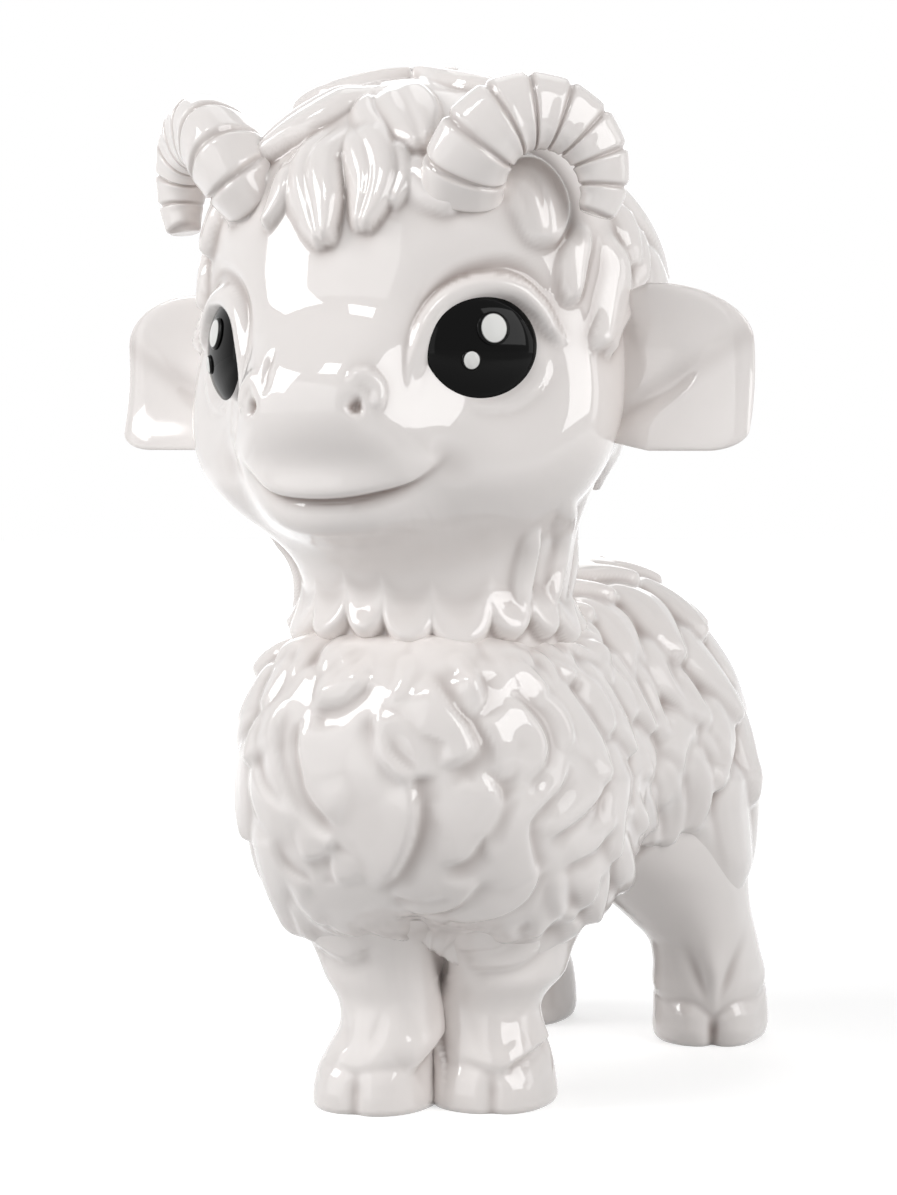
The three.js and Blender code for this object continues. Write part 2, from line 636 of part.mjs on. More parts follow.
// A cupped paddle lofted from its root in the head to a nearly straight tip, with a round upper corner.
function earForm(side) {
  const root = SKULL_WIDTH / 2 - EAR_ROOT;
  const half = EAR_HEIGHT / 2;
  const [count, sides] = [10, 14];
  const rings = [];
  for (let i = 0; i <= count; i++) {
    const t = 1 - (1 - i / count) ** 1.5;
    const rounded = (from) => Math.sqrt(1 - clamp((t - from) / (1 - from), 0, 1) ** 2);
    const top = half * Math.min(lerp(0.6, 1, t * 2), 0.3 + 0.7 * rounded(0.5));
    const bottom = -half * Math.min(lerp(0.75, 1, t * 2), 0.75 + 0.25 * rounded(0.8));
    const thick = (EAR_THICKNESS / 2) * lerp(0.15, 1, rounded(0.875));
    const ring = [];
    for (let k = 0; k < sides; k++) {
      const [z, y] = superellipse((2 * Math.PI * k) / sides, (top - bottom) / 2, thick, 2.2);
      const up = z + (top + bottom) / 2;
      const cup = EAR_CUP * (up / half) ** 2;
      ring.push(vector(side * lerp(root, EAR_SPAN / 2, t), y - cup, HEAD_LEVEL - EAR_DROP + up));
    }
    rings.push(side > 0 ? ring.reverse() : ring);
  }
  return solid(skin(rings));
}

// Legs

// A leg lofted from its hoof to the body; stations hold height, half-width, half-length, side and back.
function legForm(stations, side, grow) {
  const at = through(stations);
  const [count, sides] = [12, 16];
  const rings = [];
  for (let i = 0; i <= count; i++) {
    const [z, a, b, x, y] = at(i / count);
    const ring = [];
    for (let k = 0; k < sides; k++) {
      const [dx, dy] = superellipse((2 * Math.PI * k) / sides, a + grow, b + grow, 2.3);
      ring.push(vector(side * x + dx, y + dy, z));
    }
    rings.push(ring);
  }
  return solid(skin(rings));
}

// The split between the two toes: a wedge, open to the front.
function cleft(x, y) {
  const front = y - HOOF_LENGTH / 2;
  const wedge = new THREE.Shape();
  wedge.moveTo(x - CLEFT_WIDTH / 2, front - CLEFT_WIDTH);
  wedge.lineTo(x + CLEFT_WIDTH / 2, front - CLEFT_WIDTH);
  wedge.lineTo(x, front + CLEFT_DEPTH);
  wedge.closePath();
  const cut = new THREE.ExtrudeGeometry(wedge, { depth: 2 * HOOF_HEIGHT, bevelEnabled: false });
  return solid(cut.translate(0, 0, -HOOF_HEIGHT));
}

const belly = TORSO_MIDDLE - TORSO_DEPTH / 2;

const forelegStations = (back) => [
  [0, HOOF_WIDTH / 2, HOOF_LENGTH / 2, FORELEG_SIDE, back],
  [HOOF_HEIGHT * 0.7, HOOF_WIDTH / 2 - 1.5, HOOF_LENGTH / 2 - 2, FORELEG_SIDE, back],
  [PASTERN_HEIGHT, PASTERN_WIDTH / 2, PASTERN_WIDTH / 2 + 0.5, FORELEG_SIDE - PASTERN_TOE_IN, back + 1],
  [PASTERN_HEIGHT + 8, PASTERN_WIDTH / 2 + 2, PASTERN_WIDTH / 2 + 3.5, FORELEG_SIDE, back + 3],
  [belly - 3, SHOULDER_WIDTH / 2 - 3.5, SHOULDER_LENGTH / 2 - 6, FORELEG_SIDE + 3.5, back + 6],
  [belly + 9, SHOULDER_WIDTH / 2, SHOULDER_LENGTH / 2 - 2, FORELEG_SIDE + 4.5, back + 8],
  [belly + 24, SHOULDER_WIDTH / 2 - 1, SHOULDER_LENGTH / 2 - 4, FORELEG_SIDE + 4, back + 8],
];

const hindLegStations = [
  [0, HOOF_WIDTH / 2, HOOF_LENGTH / 2, HIND_LEG_SIDE, HIND_LEG_BACK],
  [HOOF_HEIGHT * 0.7, HOOF_WIDTH / 2 - 0.5, HOOF_LENGTH / 2 - 0.5, HIND_LEG_SIDE, HIND_LEG_BACK],
  [PASTERN_HEIGHT, PASTERN_WIDTH / 2 + 2, HOCK_LENGTH / 2 - 1, HIND_LEG_SIDE, HIND_LEG_BACK - 3],
  [belly - 7, PASTERN_WIDTH / 2 + 2, HOCK_LENGTH / 2, HIND_LEG_SIDE - 2, HIND_LEG_BACK - 9],
  [belly + 3, PASTERN_WIDTH / 2 + 2, HOCK_LENGTH / 2 + 2, HIND_LEG_SIDE - 4, HIND_LEG_BACK - 12],
  [belly + 16, PASTERN_WIDTH / 2 + 1, HOCK_LENGTH / 2 + 1, HIND_LEG_SIDE - 6, HIND_LEG_BACK - 14],
];

// Tail

function tailForm() {
  const root = vector(0, RUMP_BACK - TAIL_RADIUS, rumpMiddle.z + TORSO_DEPTH / 4);
  const bends = [
    [0, 0],
    [0.32, 0.1],
    [0.5, -0.2],
    [0.5, -0.7],
  ];
  const path = bends.map(([back, up]) => vector(0, back, up).multiplyScalar(TAIL_LENGTH).add(root));
  return sweep(path, lockRadius(TAIL_RADIUS), 8, 8);
}

// Assembly

const kid = new THREE.Group();

function place(name, geometry, material, group = kid) {
  const mesh = new THREE.Mesh(geometry, material);
  mesh.name = name;
  group.add(mesh);
}

const torsoSeat = torsoForm(LUTE_GAP);
const headSeat = headForm(LUTE_GAP);
place("torso", surface(torsoForm(0)), whiteGlaze);
place("tail", surface(mainBody(tailForm().subtract(torsoSeat))), whiteGlaze);

let head = joined([headForm(0), collarTufts(), forelock(), templeLocks(1), templeLocks(-1)]);
head = head.subtract(mouthLine());
const rightForelegBack = FORELEG_BACK - FORELEG_STRIDE / 2;
const rightForelegSeat = legForm(forelegStations(rightForelegBack), -1, LUTE_GAP);

for (const [label, side] of [["left", 1], ["right", -1]]) {
  const frame = eyeFrame(side);
  const eye = new THREE.Group();
  eye.applyMatrix4(frame);
  kid.add(eye);
  place(`${label}_eye`, eyeBead(0), blackGlaze, eye);
  place(`${label}_eye_glint_large`, glint(GLINT_LARGE, ...GLINT_LARGE_AT), whiteEnamel, eye);
  place(`${label}_eye_glint_small`, glint(GLINT_SMALL, ...GLINT_SMALL_AT), whiteEnamel, eye);
  const lid = eyelid(side).subtract(solid(eyeBead(LUTE_GAP).applyMatrix4(frame)));
  head = head.subtract(eyeSocket(side)).add(lid).subtract(nostril(side));

  place(`${label}_ear`, surface(mainBody(earForm(side).subtract(headSeat))), whiteGlaze);

  place(`${label}_horn`, surface(hornForm(side, 0)), whiteGlaze);
  head = head.subtract(hornForm(side, LUTE_GAP));

  const back = FORELEG_BACK + (side * FORELEG_STRIDE) / 2;
  const toes = cleft(side * FORELEG_SIDE, back);
  const foreleg = legForm(forelegStations(back), side, 0).subtract(torsoSeat).subtract(toes);
  const forelegBody = mainBody(side > 0 ? foreleg.subtract(rightForelegSeat) : foreleg);
  place(`${label}_foreleg`, surface(forelegBody), whiteGlaze);

  const hind = legForm(hindLegStations, side, 0).subtract(torsoSeat);
  const hindBody = mainBody(hind.subtract(cleft(side * HIND_LEG_SIDE, HIND_LEG_BACK)));
  place(`${label}_hind_leg`, surface(hindBody), whiteGlaze);
}
place("head", surface(mainBody(head.subtract(torsoSeat))), whiteGlaze);

const middle = new THREE.Box3().setFromObject(kid).getCenter(vector(0, 0, 0));
kid.position.set(-middle.x, -middle.y, 0);

export default kid;
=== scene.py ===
"""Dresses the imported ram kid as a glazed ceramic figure: modelled fleece, ribbed horns, glossy black eyes.

Shapes are worked out in millimetres in the kid's own frame, as its solids are: the ears' axis is X at Y = 0,
the kid faces -Y, its left side is +X and it stands on Z = 0. put() turns them into the row frame, in metres.
"""

import math

import bpy
import numpy as np
from mathutils import Matrix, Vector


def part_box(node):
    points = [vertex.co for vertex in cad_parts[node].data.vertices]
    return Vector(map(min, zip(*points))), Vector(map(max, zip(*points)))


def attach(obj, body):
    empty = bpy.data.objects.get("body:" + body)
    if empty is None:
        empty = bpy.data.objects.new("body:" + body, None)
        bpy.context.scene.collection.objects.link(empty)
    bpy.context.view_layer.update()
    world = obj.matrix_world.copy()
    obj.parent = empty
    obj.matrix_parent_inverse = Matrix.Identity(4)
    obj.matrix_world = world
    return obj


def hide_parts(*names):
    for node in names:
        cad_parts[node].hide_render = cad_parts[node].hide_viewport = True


bl_info = {
    "name": "Ram kid figurine",
    "version": (1, 0, 0),
    "blender": (4, 5, 0),
    "location": "3D View > Sidebar > Ram kid",
    "description": "Builds a glazed ceramic ram kid over its packed solids",
    "category": "Object",
}

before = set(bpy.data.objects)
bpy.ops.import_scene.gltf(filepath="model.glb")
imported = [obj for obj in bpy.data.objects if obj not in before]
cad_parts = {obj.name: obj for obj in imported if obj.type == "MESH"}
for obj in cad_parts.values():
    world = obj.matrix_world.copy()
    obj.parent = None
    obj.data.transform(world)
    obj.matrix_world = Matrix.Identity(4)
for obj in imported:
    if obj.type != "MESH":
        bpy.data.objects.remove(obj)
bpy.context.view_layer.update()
MM = 0.001
HIND_LEG_BACK, HOOF_LENGTH = 108.0, 33.0
# Where the ears' axis lies along Y in the row frame, told by a hind hoof's heel
EAR_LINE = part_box("left_hind_leg")[1].y / MM - HIND_LEG_BACK - HOOF_LENGTH / 2
PHOTO_WIDTH, PHOTO_HEIGHT = 897, 1195
SIDES = (("left", 1), ("right", -1))


# Sizes and colours


def length(name, description, millimetres):
    """A length in millimetres as a property in Blender's metres."""
    metres = millimetres * MM
    return bpy.props.FloatProperty(name=name, description=description, default=metres, unit="LENGTH")


def colour(name, description, default):
    """A linear colour as a property."""
    return bpy.props.FloatVectorProperty(
        name=name, description=description, default=default, size=3, min=0.0, max=1.0, subtype="COLOR"
    )


class KidSizes(bpy.types.PropertyGroup):
    """Main sizes of the modelled masses."""

    torso_width: length("Torso width", "Across the barrel", 78)
    torso_depth: length("Torso depth", "From belly to back", 72)
    torso_middle: length("Torso height", "Height of the barrel's axis", 84)
    chest_forward: length("Chest", "From the ears' axis forward to the chest", 38)
    rump_back: length("Rump", "From the ears' axis back to the rump", 117)
    rump_width: length("Rump width", "Across the rump", 82)
    rump_rise: length("Rump rise", "How much higher the rump lies than the barrel", 5)
    haunch_side: length("Haunch side", "Middle of a haunch from the plane of symmetry", 19)
    haunch_back: length("Haunch back", "Middle of a haunch behind the ears' axis", 93)
    haunch_height: length("Haunch height", "Middle of a haunch above the ground", 67)
    haunch_radius: length("Haunch radius", "Radius of a haunch", 30)
    neck_radius: length("Neck radius", "Radius of the neck", 29.5)
    neck_back: length("Neck back", "Neck's axis behind the ears' axis", 6)
    collar_height: length("Collar height", "Lower edge of the collar of fleece", 113)
    head_level: length("Eye level", "Height of the eyes", 180.5)
    skull_width: length("Skull width", "Across the skull", 101)
    skull_depth: length("Skull depth", "From forehead to back", 81)
    skull_height: length("Skull height", "Height of the skull's mass", 94)
    cheek_width: length("Cheek width", "Across the cheeks", 108)
    cheek_depth: length("Cheek depth", "Depth of the cheeks' mass", 76)
    cheek_height: length("Cheek height", "Height of the cheeks' mass", 72)
    muzzle_width: length("Muzzle width", "Across the muzzle", 62)
    muzzle_forward: length("Muzzle", "From the ears' axis forward to the nose", 60)
    eye_width: length("Eye width", "Across an eye", 26.5)
    eye_height: length("Eye height", "Height of an eye", 24)
    horn_coil: length("Horn coil", "Diameter of a horn's centreline", 30)
    horn_root: length("Horn root", "Radius of a horn at its root", 9.5)
    ear_span: length("Ear span", "From ear tip to ear tip", 168)
    ear_height: length("Ear height", "Height of an ear", 38)
    hoof_width: length("Hoof width", "Across a hoof", 30)
    hoof_length: length("Hoof length", "From toe to heel", HOOF_LENGTH)
    fleece_rise: length("Fleece", "How far the tip of a lock stands off the trunk", 5)
    nape_rise: length("Head fleece", "How far the tip of a lock stands off the back of the head", 4.5)


class KidGlazes(bpy.types.PropertyGroup):
    """Colours of the glazes and of the studio."""

    white: colour("White glaze", "Warm white glaze where it lies thick", (0.89, 0.845, 0.822))
    # Painted shade: the dark warm colour that the white glaze turns to in creases and grooves, standing in
    # for the shade they hold
    crease_shade: colour("Glaze in creases", "White glaze where it pools in a crease", (0.34, 0.275, 0.25))
    black: colour("Black glaze", "Glaze of the eyes", (0.0012, 0.0012, 0.0012))
    enamel: colour("White enamel", "Raised dots on the eyes", (0.86, 0.86, 0.84))
    floor: colour("Floor", "Floor and background", (0.6, 0.6, 0.6))


def size(name):
    """A size in millimetres."""
    return getattr(bpy.context.scene.kid_sizes, name) / MM


# Small formulas


def steps(x, low, high):
    """A smooth step from 0 at low to 1 at high."""
    t = np.clip((x - low) / (high - low), 0, 1)
    return t * t * (3 - 2 * t)


def bell(x, width):
    """A bell: e to the minus square of the distance in widths."""
    return np.exp(-((x / width) ** 2))


def unit(vectors):
    """Vectors brought to length one."""
    return vectors / np.maximum(np.linalg.norm(vectors, axis=-1, keepdims=True), 1e-9)


def ahead(degrees):
    """The level direction at a bearing from straight ahead."""
    angle = np.radians(degrees)
    return np.stack([np.sin(angle), -np.cos(angle), np.zeros_like(angle)], -1)


def raised(bearing, tilt):
    """The direction at a bearing from straight ahead and a tilt above the level, in degrees."""
    tilt = np.radians(tilt)[..., None]
    return ahead(bearing) * np.cos(tilt) + np.array([0, 0, 1.0]) * np.sin(tilt)


def around(count):
    """Evenly spaced angles of a full turn."""
    return np.linspace(0, 2 * np.pi, count, endpoint=False)


def boxy(x, power):
    """A sine or cosine raised to a power with its sign kept: a power under one fills a ring's corners."""
    return np.sign(x) * np.abs(x) ** power


def curve(points, count):
    """A smooth curve through a few points: cubic pieces with the neighbours' chord as slope, read evenly."""
    p = np.asarray(points, float)
    padded = np.concatenate([2 * p[:1] - p[1:2], p, 2 * p[-1:] - p[-2:-1]])
    at = np.linspace(0, len(p) - 1, count)
    i = np.minimum(at.astype(int), len(p) - 2)
    s = (at - i)[:, None]
    a, b, c, d = (padded[i + k] for k in range(4))
    m, n, chord = (c - a) / 2, (d - b) / 2, c - b
    return b + s * (m + s * (3 * chord - 2 * m - n + s * (m + n - 2 * chord)))


def walked(path):
    """Length gone along a path at each of its points."""
    return np.concatenate([[0], np.cumsum(np.linalg.norm(np.diff(path, axis=0), axis=1))])


# Clay: a field is negative inside a mass, zero on its surface and about the distance outside


def ball(p, centre, radii, n=2.0):
    """Field of a superellipsoid: the n-norm of the place in half-axes, less one, over its slope."""
    radii = np.asarray(radii, float)
    out = np.abs(p - np.asarray(centre, float)) / radii
    near = np.maximum((out**n).sum(-1) ** (1 / n), 1e-6)
    slope = np.linalg.norm((out / near[..., None]) ** (n - 1) / radii, axis=-1)
    return (near - 1) / slope


def blended(reach, first, *others):
    """Smooth minimum: the lesser field, less a quarter of the squared overlap within the reach."""
    for other in others:
        mix = np.maximum(reach - np.abs(first - other), 0) / reach
        first = np.minimum(first, other) - mix * mix * reach / 4
    return first


def pressed(reach, field, tool):
    """Smooth maximum of a field and the inside of a tool: a dish with a rounded edge."""
    return -blended(reach, -field, tool)


CLAY_BLEND, FACE_BLEND = 14.0, 8.0
CHEST_FULLNESS, CHEST_DROP = 2.5, 1.0
BARREL_FULLNESS, BARREL_SLIM, BARREL_INSET, BACK_RISE = 2.3, 2.0, 8.0, 1.0


def torso_field(p):
    """Chest, barrel, rump and two haunches, blended."""
    half, deep = size("torso_width") / 2, size("torso_depth") / 2
    front, back, middle = size("chest_forward"), size("rump_back"), size("torso_middle")
    rump, rise = size("rump_width") / 2, size("rump_rise")
    side, radius = size("haunch_side"), size("haunch_radius")
    barrel = (half - BARREL_SLIM, (back + front) / 2 - BARREL_INSET, deep + BACK_RISE)
    haunches = [
        ball(p, (s * side, size("haunch_back"), size("haunch_height")), (rump - side, radius, radius))
        for s in (1, -1)
    ]
    return blended(
        CLAY_BLEND,
        ball(p, (0, 0, middle - CHEST_DROP), (half, front, deep), CHEST_FULLNESS),
        ball(p, (0, (back - front) / 2, middle + rise / 2), barrel, BARREL_FULLNESS),
        ball(p, (0, back - rump, middle + rise), (rump, rump, deep + BACK_RISE)),
        *haunches,
    )


LEG_KINDS = ("foreleg", "hind_leg")
FORELEG_SIDE, FORELEG_BACK, FORELEG_STRIDE = 12.0, 5.5, 15.0
HIND_LEG_SIDE = 28.5
LEG_BLEND, LEG_FULLNESS, LEG_READINGS = 16.0, 2.3, 300
PASTERN_WIDTH, PASTERN_HEIGHT, PASTERN_TOE_IN = 23.0, 24.0, 2.0
HOOF_WALL = 10.5
SHOULDER_WIDTH, SHOULDER_LENGTH, HOCK_LENGTH = 39.0, 52.0, 34.0


def leg_place(kind, side):
    """Middle of a sole: from the plane of symmetry, and behind the ears' axis."""
    if kind == "foreleg":
        return FORELEG_SIDE, FORELEG_BACK + side * FORELEG_STRIDE / 2
    return HIND_LEG_SIDE, HIND_LEG_BACK


def leg_table(kind, side):
    """A curve through a leg's stations from its sole up: height, half-width, half-length, side and back."""
    wide, long_, slim = size("hoof_width") / 2, size("hoof_length") / 2, PASTERN_WIDTH / 2
    belly = size("torso_middle") - size("torso_depth") / 2
    x, back = leg_place(kind, side)
    sole = (0, wide, long_, x, back)
    if kind == "foreleg":
        broad, deep = SHOULDER_WIDTH / 2, SHOULDER_LENGTH / 2
        stations = [
            sole,
            (HOOF_WALL, wide - 1.5, long_ - 2, x, back),
            (PASTERN_HEIGHT, slim, slim + 0.5, x - PASTERN_TOE_IN, back + 1),
            (PASTERN_HEIGHT + 8, slim + 2, slim + 3.5, x, back + 3),
            (belly - 3, broad - 3.5, deep - 6, x + 3.5, back + 6),
            (belly + 9, broad, deep - 2, x + 4.5, back + 8),
            (belly + 24, broad - 1, deep - 4, x + 4, back + 8),
        ]
    else:
        hock = HOCK_LENGTH / 2
        stations = [
            sole,
            (HOOF_WALL, wide - 0.5, long_ - 0.5, x, back),
            (PASTERN_HEIGHT, slim + 2, hock - 1, x, back - 3),
            (belly - 7, slim + 2, hock, x - 2, back - 9),
            (belly + 3, slim + 2, hock + 2, x - 4, back - 12),
            (belly + 16, slim + 1, hock + 1, x - 6, back - 14),
        ]
    return curve(stations, LEG_READINGS)


def leg_field(p, table, side):
    """Field of a leg: a rounded section whose half-axes and middle follow the leg's table."""
    wide, deep, x, y = (np.interp(p[..., 2], table[:, 0], table[:, k]) for k in range(1, 5))
    across, back = np.abs((p[..., 0] - side * x) / wide), np.abs((p[..., 1] - y) / deep)
    out = (across**LEG_FULLNESS + back**LEG_FULLNESS) ** (1 / LEG_FULLNESS)
    return np.maximum((out - 1) * np.minimum(wide, deep), p[..., 2] - table[-1, 0])


def leg_fields(p):
    """Fields of the four legs."""
    return [leg_field(p, leg_table(kind, side), side) for _, side in SIDES for kind in LEG_KINDS]


def legs_field(p):
    """The nearest of the four legs."""
    return np.minimum.reduce(leg_fields(p))


FLEECE_HEM, FLEECE_HEM_BELLY, HEM_ARCH = 42.0, 68.0, 30.0
HEM_PROUD, HEM_SINK, HEM_SOFT = 0.5, 1.6, 5.0
WEB_RISE, WEB_WIDTH, SKIRT_UNDER_HEM = 9.0, 5.0, 8.0


def hem_height(y):
    """Height of the fleece's lower edge along the body: low at the legs, arched in front of the haunch."""
    aside = np.abs(y - size("haunch_back") + size("haunch_radius"))
    return FLEECE_HEM_BELLY + (FLEECE_HEM - FLEECE_HEM_BELLY) * steps(aside, 0, HEM_ARCH)


def skirt_field(p):
    """The trunk flowing into its four legs, sinking into them along a wavy hem and cut off under it."""
    x, y, z = np.moveaxis(p, -1, 0)
    above = z - hem_height(y)
    wave = 2.5 * np.sin(x / 4 + 0.6) + 2 * np.sin(y / 5.5)
    sunk = HEM_PROUD - HEM_SINK * steps(-above - wave, -HEM_SOFT, HEM_SOFT)
    web = WEB_RISE * bell(x, WEB_WIDTH)
    skin = blended(LEG_BLEND, torso_field(p), *leg_fields(p)) - sunk
    return np.maximum(skin, web - SKIRT_UNDER_HEM - above)


EYE_SPREAD, EYE_BEARING = 48.0, 42.0
EYE_BULGE, EYE_DEEP = 4.5, 1.5
EYE_DISH_RADIUS, EYE_DISH_DEPTH = 60.0, 5.5
SKULL_FORWARD, SKULL_RISE = 6.0, 17.0
CHEEK_FORWARD, CHEEK_DROP = 13.0, 14.0
NAPE_WIDTH, NAPE_HEIGHT, NAPE_BACK, NAPE_ABOVE_EYES = 104.0, 80.0, 54.0, 10.0
MUZZLE_DEPTH, MUZZLE_HEIGHT, MUZZLE_DROP = 52.0, 42.0, 13.0
CHIN_WIDTH, CHIN_DEPTH, CHIN_HEIGHT, CHIN_FORWARD, CHIN_DROP = 40.0, 36.0, 22.0, 53.0, 33.0
COLLAR_FLARE = 3.0


def halves(mass):
    """Half-axes of a mass of the head that has three sizes of its own."""
    return [size(f"{mass}_{way}") / 2 for way in ("width", "depth", "height")]


def skull_field(p):
    """Skull, nape fleece, cheeks, muzzle and chin, blended."""
    level, depth, snout, jut = size("head_level"), size("skull_depth") / 2, MUZZLE_DEPTH / 2, CHIN_DEPTH / 2
    skull = ball(p, (0, -SKULL_FORWARD, level + SKULL_RISE), halves("skull"))
    nape = ball(p, (0, NAPE_BACK - depth, level + NAPE_ABOVE_EYES), (NAPE_WIDTH / 2, depth, NAPE_HEIGHT / 2))
    cheek = ball(p, (0, -CHEEK_FORWARD, level - CHEEK_DROP), halves("cheek"))
    muzzle_at = (0, snout - size("muzzle_forward"), level - MUZZLE_DROP)
    muzzle = ball(p, muzzle_at, (size("muzzle_width") / 2, snout, MUZZLE_HEIGHT / 2))
    chin = ball(p, (0, jut - CHIN_FORWARD, level - CHIN_DROP), (CHIN_WIDTH / 2, jut, CHIN_HEIGHT / 2))
    return blended(FACE_BLEND, blended(CLAY_BLEND, skull, nape, cheek), muzzle, chin)


def eye_clay(side):
    """Where an eye lies on the undished skull."""
    foot = np.array([[0.0, -SKULL_FORWARD, size("head_level")]])
    return leave(skull_field, foot, ahead(np.array([side * EYE_SPREAD])))[0]


def face_field(p):
    """The skull with a shallow dish pressed round each eye."""
    field = skull_field(p)
    for _, side in SIDES:
        middle = eye_clay(side) + ahead(side * EYE_BEARING) * (EYE_DISH_RADIUS - EYE_DISH_DEPTH)
        field = pressed(FACE_BLEND, field, ball(p, middle, (EYE_DISH_RADIUS,) * 3))
    return field


def head_field(p):
    """The face on a neck that widens towards the collar."""
    low, top = size("collar_height"), size("head_level") - CHEEK_DROP
    flare = COLLAR_FLARE * np.clip((top - p[..., 2]) / (top - low), 0, 1)
    round_ = np.hypot(p[..., 0], p[..., 1] - size("neck_back")) - size("neck_radius") - flare
    neck = np.maximum(np.maximum(round_, p[..., 2] - top), size("torso_middle") - p[..., 2])
    return blended(CLAY_BLEND, face_field(p), neck)


FAR_OUT, RAY_PACE, RAY_TRIES, RAY_CLOSE = 140.0, 0.75, 60, 0.003
NORMAL_STEP = 0.4


def leave(field, foot, ray, far=FAR_OUT):
    """Where rays from inside a field last leave it: each is followed back from far out by its distance."""
    out = np.full(ray.shape[:-1], far)
    for _ in range(RAY_TRIES):
        value = field(foot + ray * out[..., None])
        out = np.maximum(out - RAY_PACE * value, 0)
        if np.abs(value).max() < RAY_CLOSE:
            break
    return foot + ray * out[..., None]


def outward_of(field, p):
    """Unit normals of a field: its central differences along X, Y and Z."""
    return unit(np.stack([field(p + d) - field(p - d) for d in NORMAL_STEP * np.eye(3)], -1))


# Camera, and what the photograph shows

CAMERA_AZIMUTH, CAMERA_DISTANCE, CAMERA_HEIGHT = 28.0, 690.0, 159.5
FOCAL_PIXELS, HORIZON_PIXEL, EAR_LINE_PIXEL = 2898.0, 442.0, 425.0
PIXELS_PER_MM = 4.2
SIGHT_START = CAMERA_DISTANCE - 160
SIGHT_PACE, SIGHT_STRIDE, SIGHT_TRIES, SIGHT_CLOSE = 0.8, 20.0, 90, 0.5
TRACE_POINTS = 26


def camera_axes():
    """The camera's place and its right, up and forward directions, in the kid's own frame."""
    back = ahead(CAMERA_AZIMUTH)
    right = np.array([-back[1], back[0], 0.0])
    pitch = math.atan((PHOTO_HEIGHT / 2 - HORIZON_PIXEL) / FOCAL_PIXELS)
    forward = -back * math.cos(pitch) - np.array([0, 0, math.sin(pitch)])
    up = np.cross(right, forward)
    aside = (PHOTO_WIDTH / 2 - EAR_LINE_PIXEL) / FOCAL_PIXELS * CAMERA_DISTANCE
    return back * CAMERA_DISTANCE + right * aside + np.array([0, 0, CAMERA_HEIGHT]), right, up, forward


def pixels_of(p):
    """Where points show in the photograph, in its pixels."""
    eye, right, up, forward = camera_axes()
    out = p - eye
    scale = FOCAL_PIXELS / (out @ forward)
    return PHOTO_WIDTH / 2 + scale * (out @ right), PHOTO_HEIGHT / 2 - scale * (out @ up)


def seen(pixels, field):
    """A curve on the clay under a curve in the photograph: rays from the camera, followed to the surface."""
    eye, right, up, forward = camera_axes()
    px = curve(pixels, TRACE_POINTS)
    across = (px[:, :1] - PHOTO_WIDTH / 2) / FOCAL_PIXELS
    down = (px[:, 1:] - PHOTO_HEIGHT / 2) / FOCAL_PIXELS
    ray = unit(forward + across * right - down * up)
    out = np.full(len(px), SIGHT_START)
    for _ in range(SIGHT_TRIES):
        out = out + SIGHT_PACE * np.minimum(field(eye + ray * out[:, None]), SIGHT_STRIDE)
    found = np.abs(field(eye + ray * out[:, None])) < SIGHT_CLOSE
    return (eye + ray * out[:, None])[found]


# Relief: locks and lines laid on a skin


def follow(skin, normals, path, reach):
    """Skin points near a path on it: their indices, the share of the path gone and the side offset."""
    middle = path.mean(0)
    wide = np.linalg.norm(path - middle, axis=1).max() + reach
    near = np.flatnonzero(((skin - middle) ** 2).sum(1) < wide * wide)
    if not len(near):
        return near, np.zeros(0), np.zeros(0)
    tangent, gone = unit(np.gradient(path, axis=0)), walked(path)
    offset = skin[near][:, None] - path[None]
    best = (offset**2).sum(2).argmin(1)
    rows = np.arange(len(near))
    on = (offset[rows, best] * tangent[best]).sum(1)
    aside = offset[rows, best] - on[:, None] * tangent[best]
    side = np.sign((np.cross(normals[near], tangent[best]) * aside).sum(1))
    return near, (gone[best] + on) / gone[-1], side * np.linalg.norm(aside, axis=1)


def tapered(t, start, end):
    """1 along a path, fading to 0 over a share of it at either end."""
    return steps(t, -0.02, start) * steps(1 - t, -0.02, end)


LOCKS_ROUND, LOCK_ROW = 20, 26.0
LOCK_OVERLAP, LOCK_UNEVEN, LOCK_SLANT, LOCK_BEND, EVEN_COAT = 1.5, 0.15, 0.35, 0.2, 0.6
NAPE_LOCK, HAIRLINE, HAIRLINE_CROWN, HAIRLINE_FADE = 30.0, 108.0, 50.0, 8.0
CROWN_TILTS, NAPE_FADE = (30, 75), (4, 20)
HEM_SCALLOP, HEM_FADE = 3.0, (-1, 5)
BARE_ROUND_NECK, BARE_HEIGHTS = (-9, 0), (98, 108)
THIGH_THIN, THIGH_BACK, THIGH_HEIGHTS = 0.6, (60, 80), (50, 80)


def combed(across, tilt):
    """Locks in overlapping rows, 0 to 1, at a count along the row and a tilt above the level in degrees.

    Each lock is a leaf that leans back in an S-bend, is rounded across and rises to its tip, with two shallow
    grooves between its strands. Towards the top, where the rows begin, they are smoothed to an even coat.
    """
    down = (90 - tilt) / LOCK_ROW
    height = np.zeros_like(across)
    for row in (np.floor(down) - 1, np.floor(down)):
        place = across - LOCK_SLANT * down + LOCK_BEND * np.sin(np.pi * down) + np.fmod(row, 2) / 2
        lock = np.round(place)
        gone = np.minimum((down - row) / (LOCK_OVERLAP + LOCK_UNEVEN * np.sin(5 * lock + 2 * row)), 1)
        leaf = 0.5 * np.sin(np.pi * (0.14 + 0.8 * gone)) ** 0.9
        x = np.clip((place - lock) / leaf, -1, 1)
        strands = 1 - 0.1 * (0.5 + 0.5 * np.cos(3 * np.pi * (x + 1))) ** 3
        rise = np.minimum(gone / 0.15, 1) * (0.4 + 0.6 * gone) * (gone < 1)
        height = np.maximum(height, rise * (1 - x**2) ** 0.6 * strands)
    return height + (EVEN_COAT - height) * steps(tilt, 90 - LOCK_ROW, 90 - LOCK_ROW / 3)


